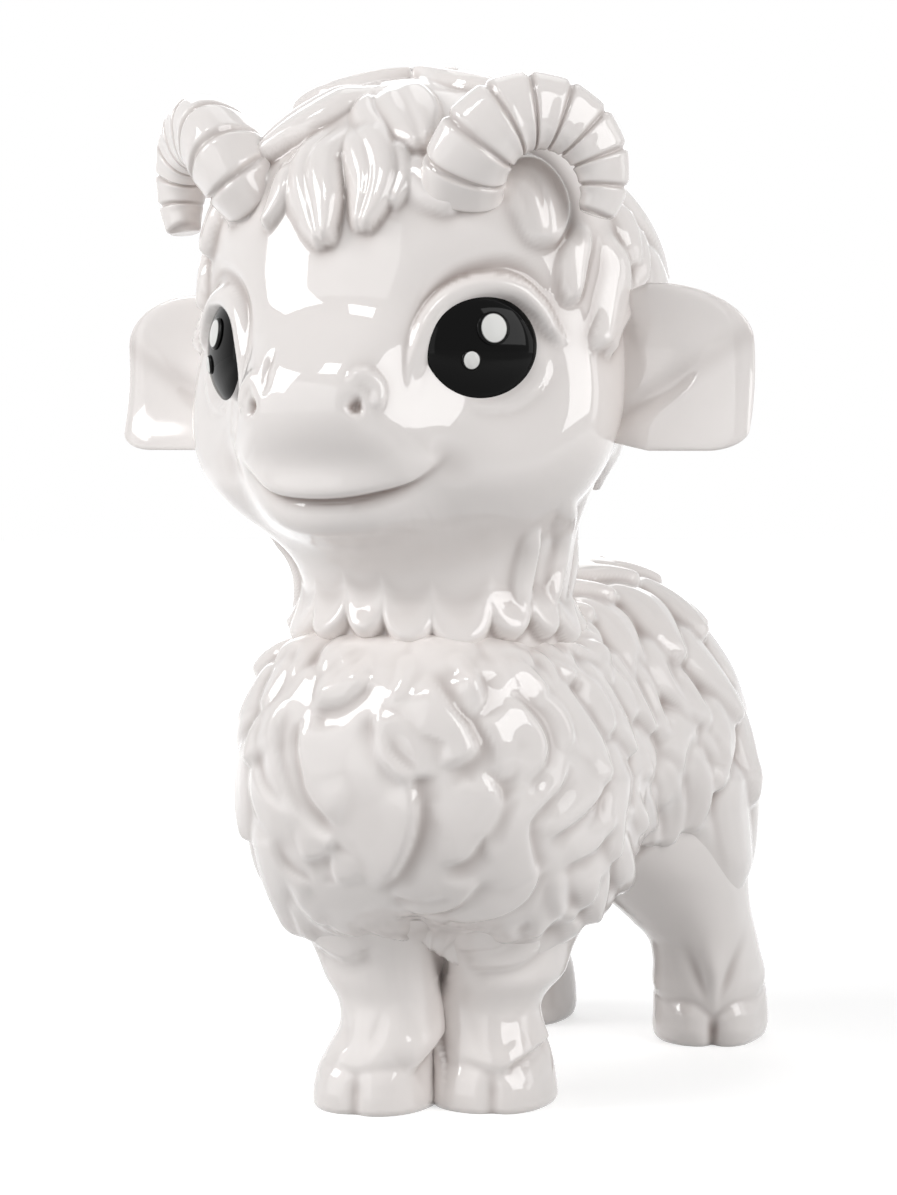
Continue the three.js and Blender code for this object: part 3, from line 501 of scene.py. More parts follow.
def bearings(out):
    """Bearing from straight ahead on either side, and tilt above the level, in degrees."""
    x, y, z = np.moveaxis(out, -1, 0)
    return np.degrees(np.abs(np.arctan2(x, -y))), np.degrees(np.arctan2(z, np.hypot(x, y)))


def trunk_fleece(p):
    """Height of the trunk's fleece: locks in rows round a level spine, thin on thighs and along the hem."""
    back = size("rump_back") - size("rump_width") / 2
    share = np.clip(p[..., 1] / back, 0, 1)
    spine = size("torso_middle") - CHEST_DROP + (size("rump_rise") + CHEST_DROP) * share
    foot = np.stack([0 * share, back * share, spine], -1)
    bearing, tilt = bearings(p - foot)
    quarter = size("torso_width") * math.pi / 4
    across = LOCKS_ROUND / 2 * (foot[..., 1] + quarter * bearing / 90) / (back + 2 * quarter)
    scallop = HEM_SCALLOP * np.cos(2 * np.pi * (across - LOCK_SLANT * (90 - tilt) / LOCK_ROW))
    hem = steps(p[..., 2] - hem_height(p[..., 1]) + scallop, *HEM_FADE)
    neck = np.hypot(p[..., 0], p[..., 1] - size("neck_back")) - size("neck_radius")
    bare = steps(-neck, *BARE_ROUND_NECK) * steps(p[..., 2], *BARE_HEIGHTS)
    thigh = 1 - THIGH_THIN * steps(p[..., 1], *THIGH_BACK) * (1 - steps(p[..., 2], *THIGH_HEIGHTS))
    return size("fleece_rise") * hem * (1 - bare) * thigh * combed(across, tilt)


def head_fleece(p):
    """Height of the fleece over the back of the head: locks in rows round the skull, behind the hairline."""
    bearing, tilt = bearings(p - np.array([0, -SKULL_FORWARD, size("head_level") + SKULL_RISE]))
    line = HAIRLINE + (HAIRLINE_CROWN - HAIRLINE) * steps(tilt, *CROWN_TILTS)
    hair = steps(bearing, line - HAIRLINE_FADE, line + HAIRLINE_FADE)
    thin = steps(p[..., 2] - size("collar_height"), *NAPE_FADE)
    return size("nape_rise") * hair * thin * combed(bearing / NAPE_LOCK, tilt)


SHORTEST_TRACE = 4


def lock_relief(skin, normals, locks):
    """Height of single locks: a leaf that swells from its left edge to a sharper right one, its tip lifted.

    Each lock is a path, a half-width, a height, how many strands it has and how blunt its tip is.
    """
    relief = np.zeros(len(skin))
    for path, half, height, strands, blunt in locks:
        if len(path) < SHORTEST_TRACE:
            continue
        near, t, d = follow(skin, normals, path, half * 1.2)
        leaf = half * np.sin(np.pi * np.clip(0.12 + (0.86 - 0.4 * blunt) * t, 0, 1)) ** 0.7
        x = np.clip(d / np.maximum(leaf, 1e-3), -1, 1)
        tip = np.clip((1 - t) / (0.06 + 0.1 * blunt), 0, 1) ** 0.5
        rise = steps(t, -0.02, 0.3) * (0.7 + 0.3 * t) * tip * (t < 1)
        grooves = 1 - 0.2 * (0.5 + 0.5 * np.cos(np.pi * strands * (x + 1))) ** 3
        body = (1 - np.abs(x) ** np.where(x > 0, 4.0, 1.8)) ** np.where(x > 0, 0.6, 0.9) * (0.8 + 0.2 * x)
        relief[near] = np.maximum(relief[near], height * rise * body * grooves)
    return relief


EDGE_RISE, EDGE_REACH, EDGE_SWELL = 0.62, 20.0, 7.0
EDGE_FALL, EDGE_DROP, EDGE_FADE = 2.4, 1.7, 3.5


def edge_relief(skin, normals, edges, field):
    """Height along drawn edges of locks: the clay swells up to a line from its left and drops into a groove.

    Left is as seen on the way down the line. Each edge is a line in the photograph's pixels and a strength.
    """
    high, low = np.zeros(len(skin)), np.zeros(len(skin))
    for pixels, strength in edges:
        path = seen(pixels, field)
        if len(path) < SHORTEST_TRACE:
            continue
        near, t, d = follow(skin, normals, path, EDGE_REACH)
        swell = np.exp(-((np.maximum(-d, 0) / EDGE_SWELL) ** 1.6))
        fall = EDGE_DROP * np.sin(np.pi / 2 * np.clip(d / EDGE_FALL, 0, 1))
        fade = bell(np.maximum(d - EDGE_FALL, 0), EDGE_FADE)
        part = EDGE_RISE * strength * tapered(t, 0.2, 0.2) * (swell - fall) * fade
        high[near], low[near] = np.maximum(high[near], part), np.minimum(low[near], part)
    return high + low


def line_relief(skin, normals, path, half, height, taper=0.3):
    """Height along a line: a bell across it that fades at both ends; a negative height makes a groove."""
    relief = np.zeros(len(skin))
    near, t, d = follow(skin, normals, path, half * 3)
    relief[near] = height * tapered(t, taper, taper) * bell(d, half)
    return relief


def softened(relief, passes):
    """Relief as glaze rounds it: each pass moves a grid point half-way to the mean of its four neighbours."""
    for _ in range(passes):
        padded = np.pad(np.pad(relief, ((1, 1), (0, 0)), "edge"), ((0, 0), (1, 1)), "wrap")
        beside = padded[:-2, 1:-1] + padded[2:, 1:-1] + padded[1:-1, :-2] + padded[1:-1, 2:]
        relief = 0.5 * relief + 0.125 * beside
    return relief


# Meshes


def put(points):
    """Points of the kid's own frame in the row frame, in metres."""
    return (points + np.array([0, EAR_LINE, 0])) * MM


def linked(name, data):
    """An object in the scene."""
    made = bpy.data.objects.new(name, data)
    bpy.context.scene.collection.objects.link(made)
    return made


def ring_faces(rows, columns):
    """Quads between the rings of a grid whose columns close on themselves, as four columns of indices."""
    low = np.arange((rows - 1) * columns).reshape(rows - 1, columns)
    beside = np.roll(low, -1, axis=1)
    return np.stack([low, beside, beside + columns, low + columns], -1).reshape(-1, 4)


def cap_faces(ring, centre, outward_last):
    """Triangles from a ring of indices to a centre."""
    beside = np.roll(ring, -1)
    pair = (ring, beside) if outward_last else (beside, ring)
    return np.stack([*pair, np.full(len(ring), centre)], -1).tolist()


def zip_faces(ring, outward_last):
    """Faces that close a flattened ring: each point joined to the one opposite it across the middle plane."""
    k = np.arange(len(ring) // 2)
    a, b = ring[k], ring[k + 1]
    c, d = ring[(-k - 1) % len(ring)], ring[(-k) % len(ring)]
    quads = np.stack([a, b, c, d] if outward_last else [d, c, b, a], -1).tolist()
    return quads[1:-1] + [list(dict.fromkeys(end)) for end in (quads[0], quads[-1])]


def shell(name, grid, closing, shade_and_lap):
    """A closed, smooth mesh over a grid of rings, with a fan or a zip at both ends, and a mark of painted
    crease shade, which on enamel dots marks the black glaze's lap instead.
    """
    rows, columns = grid.shape[:2]
    points, shade_and_lap = grid.reshape(-1, 3), shade_and_lap.ravel()
    faces = ring_faces(rows, columns).tolist()
    first = np.arange(columns)
    last = first + (rows - 1) * columns
    if closing == "fans":
        faces += cap_faces(first, len(points), False) + cap_faces(last, len(points) + 1, True)
        points = np.concatenate([points, grid[0].mean(0, keepdims=True), grid[-1].mean(0, keepdims=True)])
        shade_and_lap = np.concatenate([shade_and_lap, [0, 0]])
    else:
        faces += zip_faces(first, False) + zip_faces(last, True)
    mesh = bpy.data.meshes.new(name)
    mesh.from_pydata(put(points).tolist(), [], faces)
    # The mark is painted shade in the creases of white pieces, and on an enamel dot the rim that black glaze
    # laps over
    mesh.attributes.new("shade_and_lap", "FLOAT", "POINT").data.foreach_set("value", shade_and_lap.astype(np.float32))
    mesh.shade_smooth()
    mesh.update()
    return linked(name, mesh)


def finish_piece(node, name, slot, grid, closing, shade_and_lap):
    """A piece that rides on the body, stands for its solid and takes its finish."""
    piece = shell(name, grid, closing, shade_and_lap)
    piece.data.materials.append(glaze(slot))
    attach(piece, "root")
    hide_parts(node)


GLAZE_PASSES = 2
# Passes and depths, near and wide, that set the shade painted into creases, and its greatest share
NEAR_PASSES, NEAR_DEPTH, WIDE_PASSES, WIDE_DEPTH, MOST_SHADE = 12, 1.2, 50, 2.4, 0.6


def crease_shade_of(relief):
    """How deep a point lies below its near and wider surroundings, as shares: where shade is painted into
    creases.
    """
    near = softened(relief, NEAR_PASSES)
    wide = softened(near, WIDE_PASSES)
    close = np.clip((near - relief) / NEAR_DEPTH, 0, MOST_SHADE)
    return close + np.clip((wide - relief) / WIDE_DEPTH, 0, MOST_SHADE)


def finish_modelled(node, name, grid, normals, relief, closing):
    """A white piece whose skin is moved along its normals by a relief that the glaze softens."""
    relief = softened(relief.reshape(grid.shape[:2]), GLAZE_PASSES)
    moved = grid + normals.reshape(grid.shape) * relief[..., None]
    finish_piece(node, name, "white_glaze", moved, closing, crease_shade_of(relief))


# Materials


def feed(node, sockets):
    """Links wires to a node's sockets, or sets their values."""
    for key, value in sockets.items():
        if isinstance(value, Wire):
            value.tree.links.new(value.socket, node.inputs[key])
        else:
            node.inputs[key].default_value = value


class Wire:
    """A socket in an expression: operators add Math nodes."""

    def __init__(self, tree, socket):
        self.tree, self.socket = tree, socket

    def node(self, kind, settings=None, inputs=None, output=0):
        """Adds a node of a type with its settings, then the values or links of its sockets."""
        made = self.tree.nodes.new(kind)
        for key, value in (settings or {}).items():
            setattr(made, key, value)
        feed(made, inputs or {})
        return Wire(self.tree, made.outputs[output])

    def math(self, operation, a, b):
        """One Math node."""
        return self.node("ShaderNodeMath", {"operation": operation}, {0: a, 1: b})

    def __add__(self, other):
        return self.math("ADD", self, other)

    def __sub__(self, other):
        return self.math("SUBTRACT", self, other)

    def __rsub__(self, other):
        return self.math("SUBTRACT", other, self)

    def __mul__(self, other):
        return self.math("MULTIPLY", self, other)

    __radd__, __rmul__ = __add__, __mul__


def noise(place, scale, detail):
    """A soft noise over a piece."""
    return place.node("ShaderNodeTexNoise", None, {"Vector": place, "Scale": scale, "Detail": detail})


def shade_and_lap_of(place):
    """Painted shade in a white piece's creases, and the lap of black glaze over an enamel dot, as the mesh
    marks them.
    """
    return place.node("ShaderNodeAttribute", {"attribute_name": "shade_and_lap"}, None, 2)


def mixed(factor, first, second):
    """One colour to another by a factor from 0 to 1."""
    ends = [end if isinstance(end, Wire) else (*end, 1) for end in (first, second)]
    settings = {"data_type": "RGBA", "clamp_factor": True}
    return factor.node("ShaderNodeMix", settings, {0: factor, 6: ends[0], 7: ends[1]}, 2)


def shaded(rgb, share):
    """A colour times a share."""
    return [c * share for c in rgb]


def start_material(name):
    """A new node material, its shader and the wire of its Object coordinates."""
    material = bpy.data.materials.new(name)
    material.use_nodes = True
    tree = material.node_tree
    place = Wire(tree, tree.nodes.new("ShaderNodeTexCoord").outputs["Object"])
    return material, tree.nodes["Principled BSDF"], place


def white_glaze(name):
    """Gloss glaze over a warm white body: cloudy by a slow noise, with shade painted into its creases,
    faintly rippled.
    """
    glazes = bpy.context.scene.kid_glazes
    material, shader, place = start_material(name)
    cloud, ripple = noise(place, scale=18.0, detail=3.0), noise(place, scale=90.0, detail=2.0)
    bump = place.node("ShaderNodeBump", None, {"Strength": 0.08, "Distance": 0.0003, "Height": ripple})
    # Painted shade from the mesh's crease mark, plus the glaze's random cloudiness
    shade_and_cloud = shade_and_lap_of(place) * 0.85 + (cloud - 0.5) * 0.2
    sockets = {
        "Base Color": mixed(shade_and_cloud, glazes.white, glazes.crease_shade),
        "Roughness": 0.02 + ripple * 0.04,
        "Normal": bump,
        "IOR": 1.52,
        "Coat Weight": 0.35,
        "Coat Roughness": 0.03,
    }
    feed(shader, sockets)
    return material


def gloss(name, rgb, share, scale, roughness, lap=None):
    """A smooth glaze or enamel: a colour and a share of it by a noise that its roughness follows.

    Where a second glaze laps over its rim, that one's colour shows.
    """
    material, shader, place = start_material(name)
    cloud = noise(place, scale, detail=2.0)
    base = mixed(cloud, rgb, shaded(rgb, share))
    if lap is not None:
        base = mixed(shade_and_lap_of(place), base, lap)
    feed(shader, {"Base Color": base, "Roughness": roughness + cloud * 0.03, "IOR": 1.2})
    return material


def glaze(slot):
    """The material of a slot, made on first use; the solids' own flat materials carry the bare names."""
    fired = f"fired_{slot}"
    if fired in bpy.data.materials:
        return bpy.data.materials[fired]
    glazes = bpy.context.scene.kid_glazes
    if slot == "white_glaze":
        return white_glaze(fired)
    if slot == "black_glaze":
        return gloss(fired, glazes.black, share=2.0, scale=40.0, roughness=0.03)
    return gloss(fired, glazes.enamel, share=0.94, scale=200.0, roughness=0.1, lap=glazes.black)


# Torso

# Edges of the chest's locks as the photograph shows them: points in its pixels, and how strong each is
CHEST_EDGES = [
    ([(371, 726), (390, 758), (411, 782), (415, 812), (409, 841), (394, 868), (374, 881)], 2.6),
    ([(347, 825), (320, 796), (312, 771), (308, 745), (312, 715)], 2.0),
    ([(440, 772), (411, 774), (390, 755), (382, 729), (382, 707)], 2.2),
    ([(425, 678), (444, 707), (462, 731), (470, 749), (456, 760), (438, 764)], 2.4),
    ([(470, 676), (476, 699), (468, 720)], 1.7),
    ([(500, 702), (516, 712), (532, 731), (537, 750), (529, 766), (508, 787)], 2.1),
    ([(500, 787), (494, 766), (492, 745), (478, 718)], 1.5),
    ([(476, 771), (492, 793), (489, 812), (476, 833), (462, 852), (438, 857)], 2.6),
    ([(460, 777), (476, 798), (470, 830)], 1.1),
    ([(559, 755), (551, 782), (524, 812), (519, 830), (524, 857), (532, 882)], 2.0),
    ([(497, 862), (485, 849), (486, 828), (505, 796), (535, 771)], 1.4),
    ([(600, 758), (596, 782), (577, 806), (553, 825), (535, 830)], 1.9),
    ([(606, 815), (588, 842), (556, 860)], 1.6),
    ([(449, 881), (433, 887), (411, 889), (390, 884)], 1.3),
    ([(473, 868), (468, 881), (452, 897), (428, 903), (403, 900)], 1.7),
    ([(535, 857), (521, 889), (497, 905), (470, 911), (444, 912)], 1.9),
    ([(559, 913), (548, 889), (551, 868)], 1.5),
    ([(588, 868), (580, 895), (561, 919)], 1.7),
    ([(339, 833), (328, 849), (307, 852)], 1.7),
    ([(347, 879), (338, 863), (339, 841)], 1.3),
    ([(374, 680), (347, 702), (318, 706)], 1.8),
    ([(292, 700), (282, 740), (290, 790), (312, 830)], 1.6),
    ([(270, 700), (263, 745), (269, 782), (283, 804), (302, 822)], 1.6),
    ([(276, 830), (290, 862), (320, 884)], 1.4),
]
KNEE_EDGES = [
    ([(532, 920), (537, 943), (513, 963), (466, 966)], 1.7),
    ([(508, 918), (510, 933), (495, 946), (460, 950)], 1.2),
    ([(370, 944), (346, 957), (314, 940)], 1.5),
]
CHEST_PIXEL, CHEST_REACH = (425, 800), (182, 165)
CHEST_COAT = 2.4
VALLEY_LINE = [(408, 906), (420, 928), (432, 950), (441, 975), (443, 1005)]
VALLEY_HALF, VALLEY_DEPTH = 4.0, 2.0

# Single locks of shoulders and flank: points and half-width in the photograph's pixels, strands
FLANK_LOCKS = [
    ([(378, 650), (350, 676), (322, 694)], 18, 2),
    ([(402, 652), (396, 682), (386, 706)], 17, 2),
    ([(440, 654), (454, 680), (470, 702)], 18, 2),
    ([(302, 652), (282, 680), (268, 712)], 17, 2),
    ([(498, 652), (512, 682), (540, 704)], 22, 2),
    ([(520, 698), (548, 722), (560, 750)], 19, 2),
    ([(546, 612), (572, 632), (600, 650)], 9, 1),
    ([(540, 628), (566, 648), (596, 668)], 9, 1),
    ([(532, 638), (556, 662), (580, 684)], 9, 1),
    ([(526, 648), (544, 672), (552, 694)], 9, 1),
    ([(588, 660), (614, 690), (628, 722)], 14, 2),
    ([(566, 680), (590, 704), (604, 736)], 18, 2),
    ([(622, 652), (640, 690), (660, 742)], 14, 2),
    ([(656, 660), (680, 690), (704, 728)], 14, 2),
    ([(690, 726), (704, 748), (716, 770)], 11, 1),
    ([(678, 738), (692, 786), (684, 832)], 20, 2),
    ([(650, 748), (666, 800), (664, 842)], 18, 2),
    ([(624, 762), (640, 808), (644, 854)], 16, 2),
    ([(612, 800), (626, 842), (628, 880)], 14, 2),
]
FLANK_LOCK_WIDE, FLANK_LOCK_RISE, FLANK_LOCK_SLOPE, FLANK_LOCK_BLUNT = 1.3, 2.4, 0.35, 0.2
TORSO_ROWS, TORSO_COLUMNS, TORSO_TILT, TORSO_BEND = 186, 520, 88.0, 40.0
COAT_PASSES = 4


def torso_grid():
    """Rays round a level segment from chest to rump: columns go round it, rows tilt from belly to back."""
    arc, straight = TORSO_BEND * math.pi / 2, size("rump_back") - size("rump_width") / 2
    gone = np.linspace(0, 2 * arc + straight, TORSO_COLUMNS // 2 + 1)
    bearing = 90 * (np.clip(gone / arc, 0, 1) + np.clip((gone - arc - straight) / arc, 0, 1))
    share = np.clip((gone - arc) / straight, 0, 1)
    bearing = np.concatenate([bearing, -bearing[-2:0:-1]])
    share = np.concatenate([share, share[-2:0:-1]])
    ray = raised(bearing, np.linspace(-TORSO_TILT, TORSO_TILT, TORSO_ROWS)[:, None])
    foot = np.stack([0 * share, share * straight, size("torso_middle") + share * size("rump_rise")], -1)
    return leave(skirt_field, np.broadcast_to(foot, ray.shape), ray)


def on_chest(skin, normals):
    """1 on the chest that the camera sees, 0 away from it: a step by how a point faces, one by its pixel."""
    x, y = pixels_of(skin)
    far = np.hypot((x - CHEST_PIXEL[0]) / CHEST_REACH[0], (y - CHEST_PIXEL[1]) / CHEST_REACH[1])
    return steps(-normals @ camera_axes()[3], 0, 0.3) * (1 - steps(far, 0.75, 1.1))


class KID_OT_torso(bpy.types.Operator):
    """Fleece-covered trunk."""

    bl_idname = "kid.torso"
    bl_label = "Torso"

    def execute(self, context):
        grid = torso_grid()
        skin = grid.reshape(-1, 3)
        normals = outward_of(skirt_field, skin)
        locks = []
        for px, half, strands in FLANK_LOCKS:
            wide = FLANK_LOCK_WIDE * half / PIXELS_PER_MM
            rise = FLANK_LOCK_RISE + FLANK_LOCK_SLOPE * wide
            locks.append((seen(px, skirt_field), wide, rise, strands, FLANK_LOCK_BLUNT))
        single = lock_relief(skin, normals, locks)
        above = skin[:, 2] - hem_height(skin[:, 1])
        chest = on_chest(skin, normals)
        coat = CHEST_COAT * chest * steps(above, -2, 12)
        coat += trunk_fleece(skin) * (1 - chest) * (1 - 0.4 * steps(single, 0, 1))
        fleece = softened(np.maximum(single, coat).reshape(grid.shape[:2]), COAT_PASSES).ravel()
        edges = edge_relief(skin, normals, CHEST_EDGES + KNEE_EDGES, skirt_field)
        valley = line_relief(skin, normals, seen(VALLEY_LINE, skirt_field), VALLEY_HALF, -VALLEY_DEPTH)
        relief = fleece + edges * steps(above, -4, 6) + valley
        finish_modelled("torso", "torso_fleece", grid, normals, relief, "zip")
        return {"FINISHED"}


# Head

# Locks of the head as the photograph shows them: points and half-width in its pixels, strands, bare height
HEAD_LOCKS = [
    ([(376, 84), (335, 102), (292, 130), (258, 164)], 34, 2, 4.2),
    ([(392, 86), (406, 112), (424, 150)], 30, 2, 3.2),
    ([(364, 92), (364, 116), (378, 136), (394, 160)], 12, 1, 2.6),
    ([(340, 122), (312, 168), (319, 214), (327, 248)], 30, 2, 4.4),
    ([(352, 122), (372, 174), (361, 232)], 26, 2, 3.8),
    ([(290, 158), (280, 194), (266, 228)], 15, 1, 2.8),
    ([(268, 166), (250, 196), (230, 220)], 14, 1, 2.6),
    ([(386, 138), (400, 172), (392, 208)], 14, 1, 2.6),
    ([(404, 152), (424, 188), (454, 212)], 17, 1, 3.0),
    ([(426, 160), (456, 188), (494, 194)], 14, 1, 2.6),
    ([(500, 164), (534, 192), (544, 246)], 31, 4, 3.6),
    ([(584, 220), (572, 262), (570, 304)], 15, 1, 3.2),
    ([(604, 228), (614, 270), (606, 312), (594, 348)], 20, 1, 3.6),
    ([(632, 244), (630, 286), (612, 326), (606, 356)], 12, 1, 3.0),
    ([(608, 198), (622, 226), (628, 268)], 16, 2, 3.6),
    ([(622, 216), (634, 246), (636, 288)], 14, 2, 3.6),
    ([(568, 498), (558, 545), (548, 606)], 14, 1, 3.0),
    ([(532, 528), (522, 575), (516, 622)], 13, 1, 2.6),
]
MOUTH_LINE = [(240, 456), (252, 473), (281, 497), (340, 500), (405, 486), (436, 468), (449, 452)]
MOUTH_DIMPLE = (449, 465)
LID_LINE = [
    (413, 396), (416, 366), (425, 335), (441, 309), (463, 294),
    (490, 288), (516, 292), (537, 309), (551, 330), (563, 344),
]
LID_CREASE = [(413, 338), (427, 302), (452, 277), (480, 266), (506, 264), (530, 273), (548, 296)]
LOWER_LID = [(544, 345), (540, 378), (512, 404), (470, 410)]
NOSTRIL_LINE = [(352, 414), (356, 406), (363, 404)]
NOSTRIL_FOLD = [(346, 384), (362, 376), (377, 388), (376, 408)]
NOSE_WING = [(276, 346), (266, 370), (262, 398)]
# Folds and grooves of the face: line, half-width and height in millimetres, then bluntness or taper
FACE_FOLDS = [(LID_LINE, 3.4, 3.9, 0.0), (LOWER_LID, 1.5, 1.0, 0.0), (NOSTRIL_FOLD, 2.2, 1.7, 0.3)]
FACE_GROOVES = [(LID_CREASE, 1.8, -1.0, 0.3), (NOSTRIL_LINE, 1.8, -2.3, 0.2)]
WING_HALF, WING_DEPTH = 1.6, 0.9
DIMPLE_RADIUS, DIMPLE_DEPTH, MOUTH_REACH = 6.0, 1.8, 14.0
HEAD_LOCK_WIDE, HEAD_LOCK_RISE, HEAD_LOCK_BLUNT, TEMPLE_SIDE = 1.15, 1.2, 0.1, 22.0
HEAD_ROWS, HEAD_COLUMNS, FACE_CROWDING = 256, 380, 22.0
NECK_FOOT, JAW_TUCK = 14.0, 14.0
COLLAR_DRIPS, COLLAR_PHASE = 18, 0.6


def head_grid():
    """Rays from an axis up through neck and skull, crowded together towards the face.

    They are level from the neck, tilted down under the jaw and fan out over the crown.
    """
    level, back = size("head_level"), size("neck_back")
    v = np.linspace(0, 1, HEAD_ROWS)
    stops = (0, 0.14, 0.28, 1)
    foot, jaw = size("torso_middle") + NECK_FOOT, level - CHIN_DROP - JAW_TUCK
    z = np.interp(v, stops, (foot, jaw, level - CHEEK_DROP, level + SKULL_RISE))
    y = np.interp(v, stops, (back, back, -CHEEK_FORWARD, -SKULL_FORWARD))
    turn = np.linspace(-180, 180, HEAD_COLUMNS, endpoint=False)
    bearing = turn - FACE_CROWDING * np.sin(np.radians(turn))
    ray = raised(bearing, np.interp(v, stops, (0, -20, -30, 89))[:, None])
    axis = np.stack([0 * z, y, z], -1)[:, None]
    return leave(head_field, np.broadcast_to(axis, ray.shape), ray)


def on_side(path, side):
    """A path of the left side, or its mirror image on the right."""
    return path * np.array([side, 1, 1])


def collar_relief(p):
    """Scalloped edge of the neck's fleece: uneven, rounded drips that overhang the trunk and fade upwards."""
    turn = np.arctan2(p[..., 0], -(p[..., 1] - size("neck_back")))
    place = COLLAR_DRIPS * turn / (2 * np.pi) + COLLAR_PHASE + 0.12 * np.sin(5 * turn)
    drip = np.abs(np.sin(np.pi * place)) ** 0.6
    above = p[..., 2] - (size("collar_height") + 4 + 1.5 * np.sin(5 * turn + 2) - 4.5 * drip)
    swell = np.clip(above / 3, 0, 1) ** 0.5 * (1 - steps(above, 1, 13))
    return swell * (1.4 + 3.0 * drip)


def mouth_relief(skin, normals):
    """An upper lip that swells over a groove, deepest in its middle, and a lower lip: bells across a line."""
    relief = np.zeros(len(skin))
    near, t, d = follow(skin, normals, seen(MOUTH_LINE, head_field), MOUTH_REACH)
    middle = steps(t, 0.1, 0.4) * steps(1 - t, 0.1, 0.4)
    upper = 1.7 * bell(d - 1.4, 6.8)
    under = -2.2 * bell(d, 3.6) * (0.45 + 0.8 * middle)
    lower = middle * bell(d + 8, 3.5)
    lips = under + (upper - under) * steps(d, -1.1, 1.1) + lower - 0.8 * bell(d, 1.2)
    relief[near] = tapered(t, 0.25, 0.22) * lips
    return relief


def face_relief(skin, normals):
    """Lips, lids, nostrils and their folds, both sides of the face."""
    relief = mouth_relief(skin, normals)
    corner = seen([MOUTH_DIMPLE, MOUTH_DIMPLE], head_field)[:1]
    folds = [(seen(px, head_field), *form) for px, *form in FACE_FOLDS]
    grooves = [(seen(px, head_field), *form) for px, *form in FACE_GROOVES]
    for _, side in SIDES:
        lids = [(on_side(path, side), half, height, 1, blunt) for path, half, height, blunt in folds]
        relief += lock_relief(skin, normals, lids)
        for path, half, height, taper in grooves:
            relief += line_relief(skin, normals, on_side(path, side), half, height, taper)
        relief -= DIMPLE_DEPTH * bell(np.linalg.norm(skin - on_side(corner, side), axis=1), DIMPLE_RADIUS)
    return relief + line_relief(skin, normals, seen(NOSE_WING, head_field), WING_HALF, -WING_DEPTH)


class KID_OT_head(bpy.types.Operator):
    """Neck, face and the fleece of the head."""

    bl_idname = "kid.head"
    bl_label = "Head"

    def execute(self, context):
        grid = head_grid()
        skin = grid.reshape(-1, 3)
        normals = outward_of(head_field, skin)
        locks = []
        for px, half, strands, height in HEAD_LOCKS:
            path = seen(px, head_field)
            form = (HEAD_LOCK_WIDE * half / PIXELS_PER_MM, HEAD_LOCK_RISE * height, strands, HEAD_LOCK_BLUNT)
            locks.append((path, *form))
            if path[:, 0].mean() > TEMPLE_SIDE:
                locks.append((on_side(path, -1), *form))
        coats = [lock_relief(skin, normals, locks), head_fleece(skin), collar_relief(skin)]
        relief = np.maximum.reduce(coats) + face_relief(skin, normals)
        finish_modelled("head", "head_and_neck", grid, normals, relief, "fans")
        return {"FINISHED"}


# Eyes

# Raised dots on an eye: name, diameter, and place across and up from the bead's middle
GLINTS = (("large", 7.6, 2.0, 4.0), ("small", 4.6, -3.0, -3.0))
GLINT_HEIGHT = 0.9
# Shares of a dot that the black glaze leaves white
DOT_WIDE, DOT_TALL, DOT_SOFT = 0.76, 0.84, (0.95, 1.05)
NEAR_POLE = 0.995
BEAD_ROWS, GLINT_ROWS, BEAD_COLUMNS = 40, 70, 72


def eye_frame(side):
    """The middle of an eye's bead and its across, up and outward directions."""
    outward = ahead(side * EYE_BEARING)
    across = np.array([-outward[1], outward[0], 0])
    return eye_clay(side) - outward * (EYE_DEEP + EYE_BULGE), np.stack([across, [0, 0, 1], outward])


def dome(side, middle, axes, radii, rows):
    """Rings of an ellipsoid from back to front, in an eye's frame, and where glaze laps over its rim."""
    polar, turn = np.linspace(-NEAR_POLE, NEAR_POLE, rows)[:, None] * np.pi / 2, around(BEAD_COLUMNS)
    x, y, z = np.cos(polar) * np.cos(turn), np.cos(polar) * np.sin(turn), np.sin(polar) + 0 * turn
    centre, eye = eye_frame(side)
    local = np.asarray(middle) + (np.stack([x, y, z], -1) * np.asarray(radii)) @ axes
    lapped = steps(np.hypot(x / DOT_WIDE, y / DOT_TALL), *DOT_SOFT)
    return centre + local @ eye, np.maximum(lapped, steps(-z, -0.1, 0))


class KID_OT_eyes(bpy.types.Operator):
    """Black glazed beads with raised dots of enamel."""

    bl_idname = "kid.eyes"
    bl_label = "Eyes"

    def execute(self, context):
        a, b = size("eye_width") / 2, size("eye_height") / 2
        for label, side in SIDES:
            grid, lapped = dome(side, (0, 0, 0), np.eye(3), (a, b, EYE_BULGE), BEAD_ROWS)
            finish_piece(f"{label}_eye", f"{label}_eye_bead", "black_glaze", grid, "fans", lapped)
            for which, diameter, across, up in GLINTS:
                out = EYE_BULGE * math.sqrt(1 - (across / a) ** 2 - (up / b) ** 2)
                normal = unit(np.array([across / a**2, up / b**2, out / EYE_BULGE**2]))
                flat = unit(np.cross([0, 1, 0], normal))
                axes = np.stack([flat, np.cross(normal, flat), normal])
                radii = (diameter / 2, diameter / 2, GLINT_HEIGHT)
                grid, lapped = dome(side, (across, up, out), axes, radii, GLINT_ROWS)
                node, name = f"{label}_eye_glint_{which}", f"{label}_glint_{which}"
                finish_piece(node, name, "white_enamel", grid, "fans", lapped)
        return {"FINISHED"}


# Horns

HORN_TURN, HORN_SINK, HORN_RIBS, HORN_GROOVE = 208.0, 18.0, 11, 1.0
HORN_SIDE, HORN_FORWARD, HORN_RISE, HORN_SWEEP = 43.5, 29.0, 36.5, 37.0
HORN_TIP, HORN_STATIONS, HORN_BURIED, HORN_CLEAR = 4.0, 12, 2, 3
HORN_ROWS, HORN_COLUMNS, TUBE_READINGS = 330, 60, 400


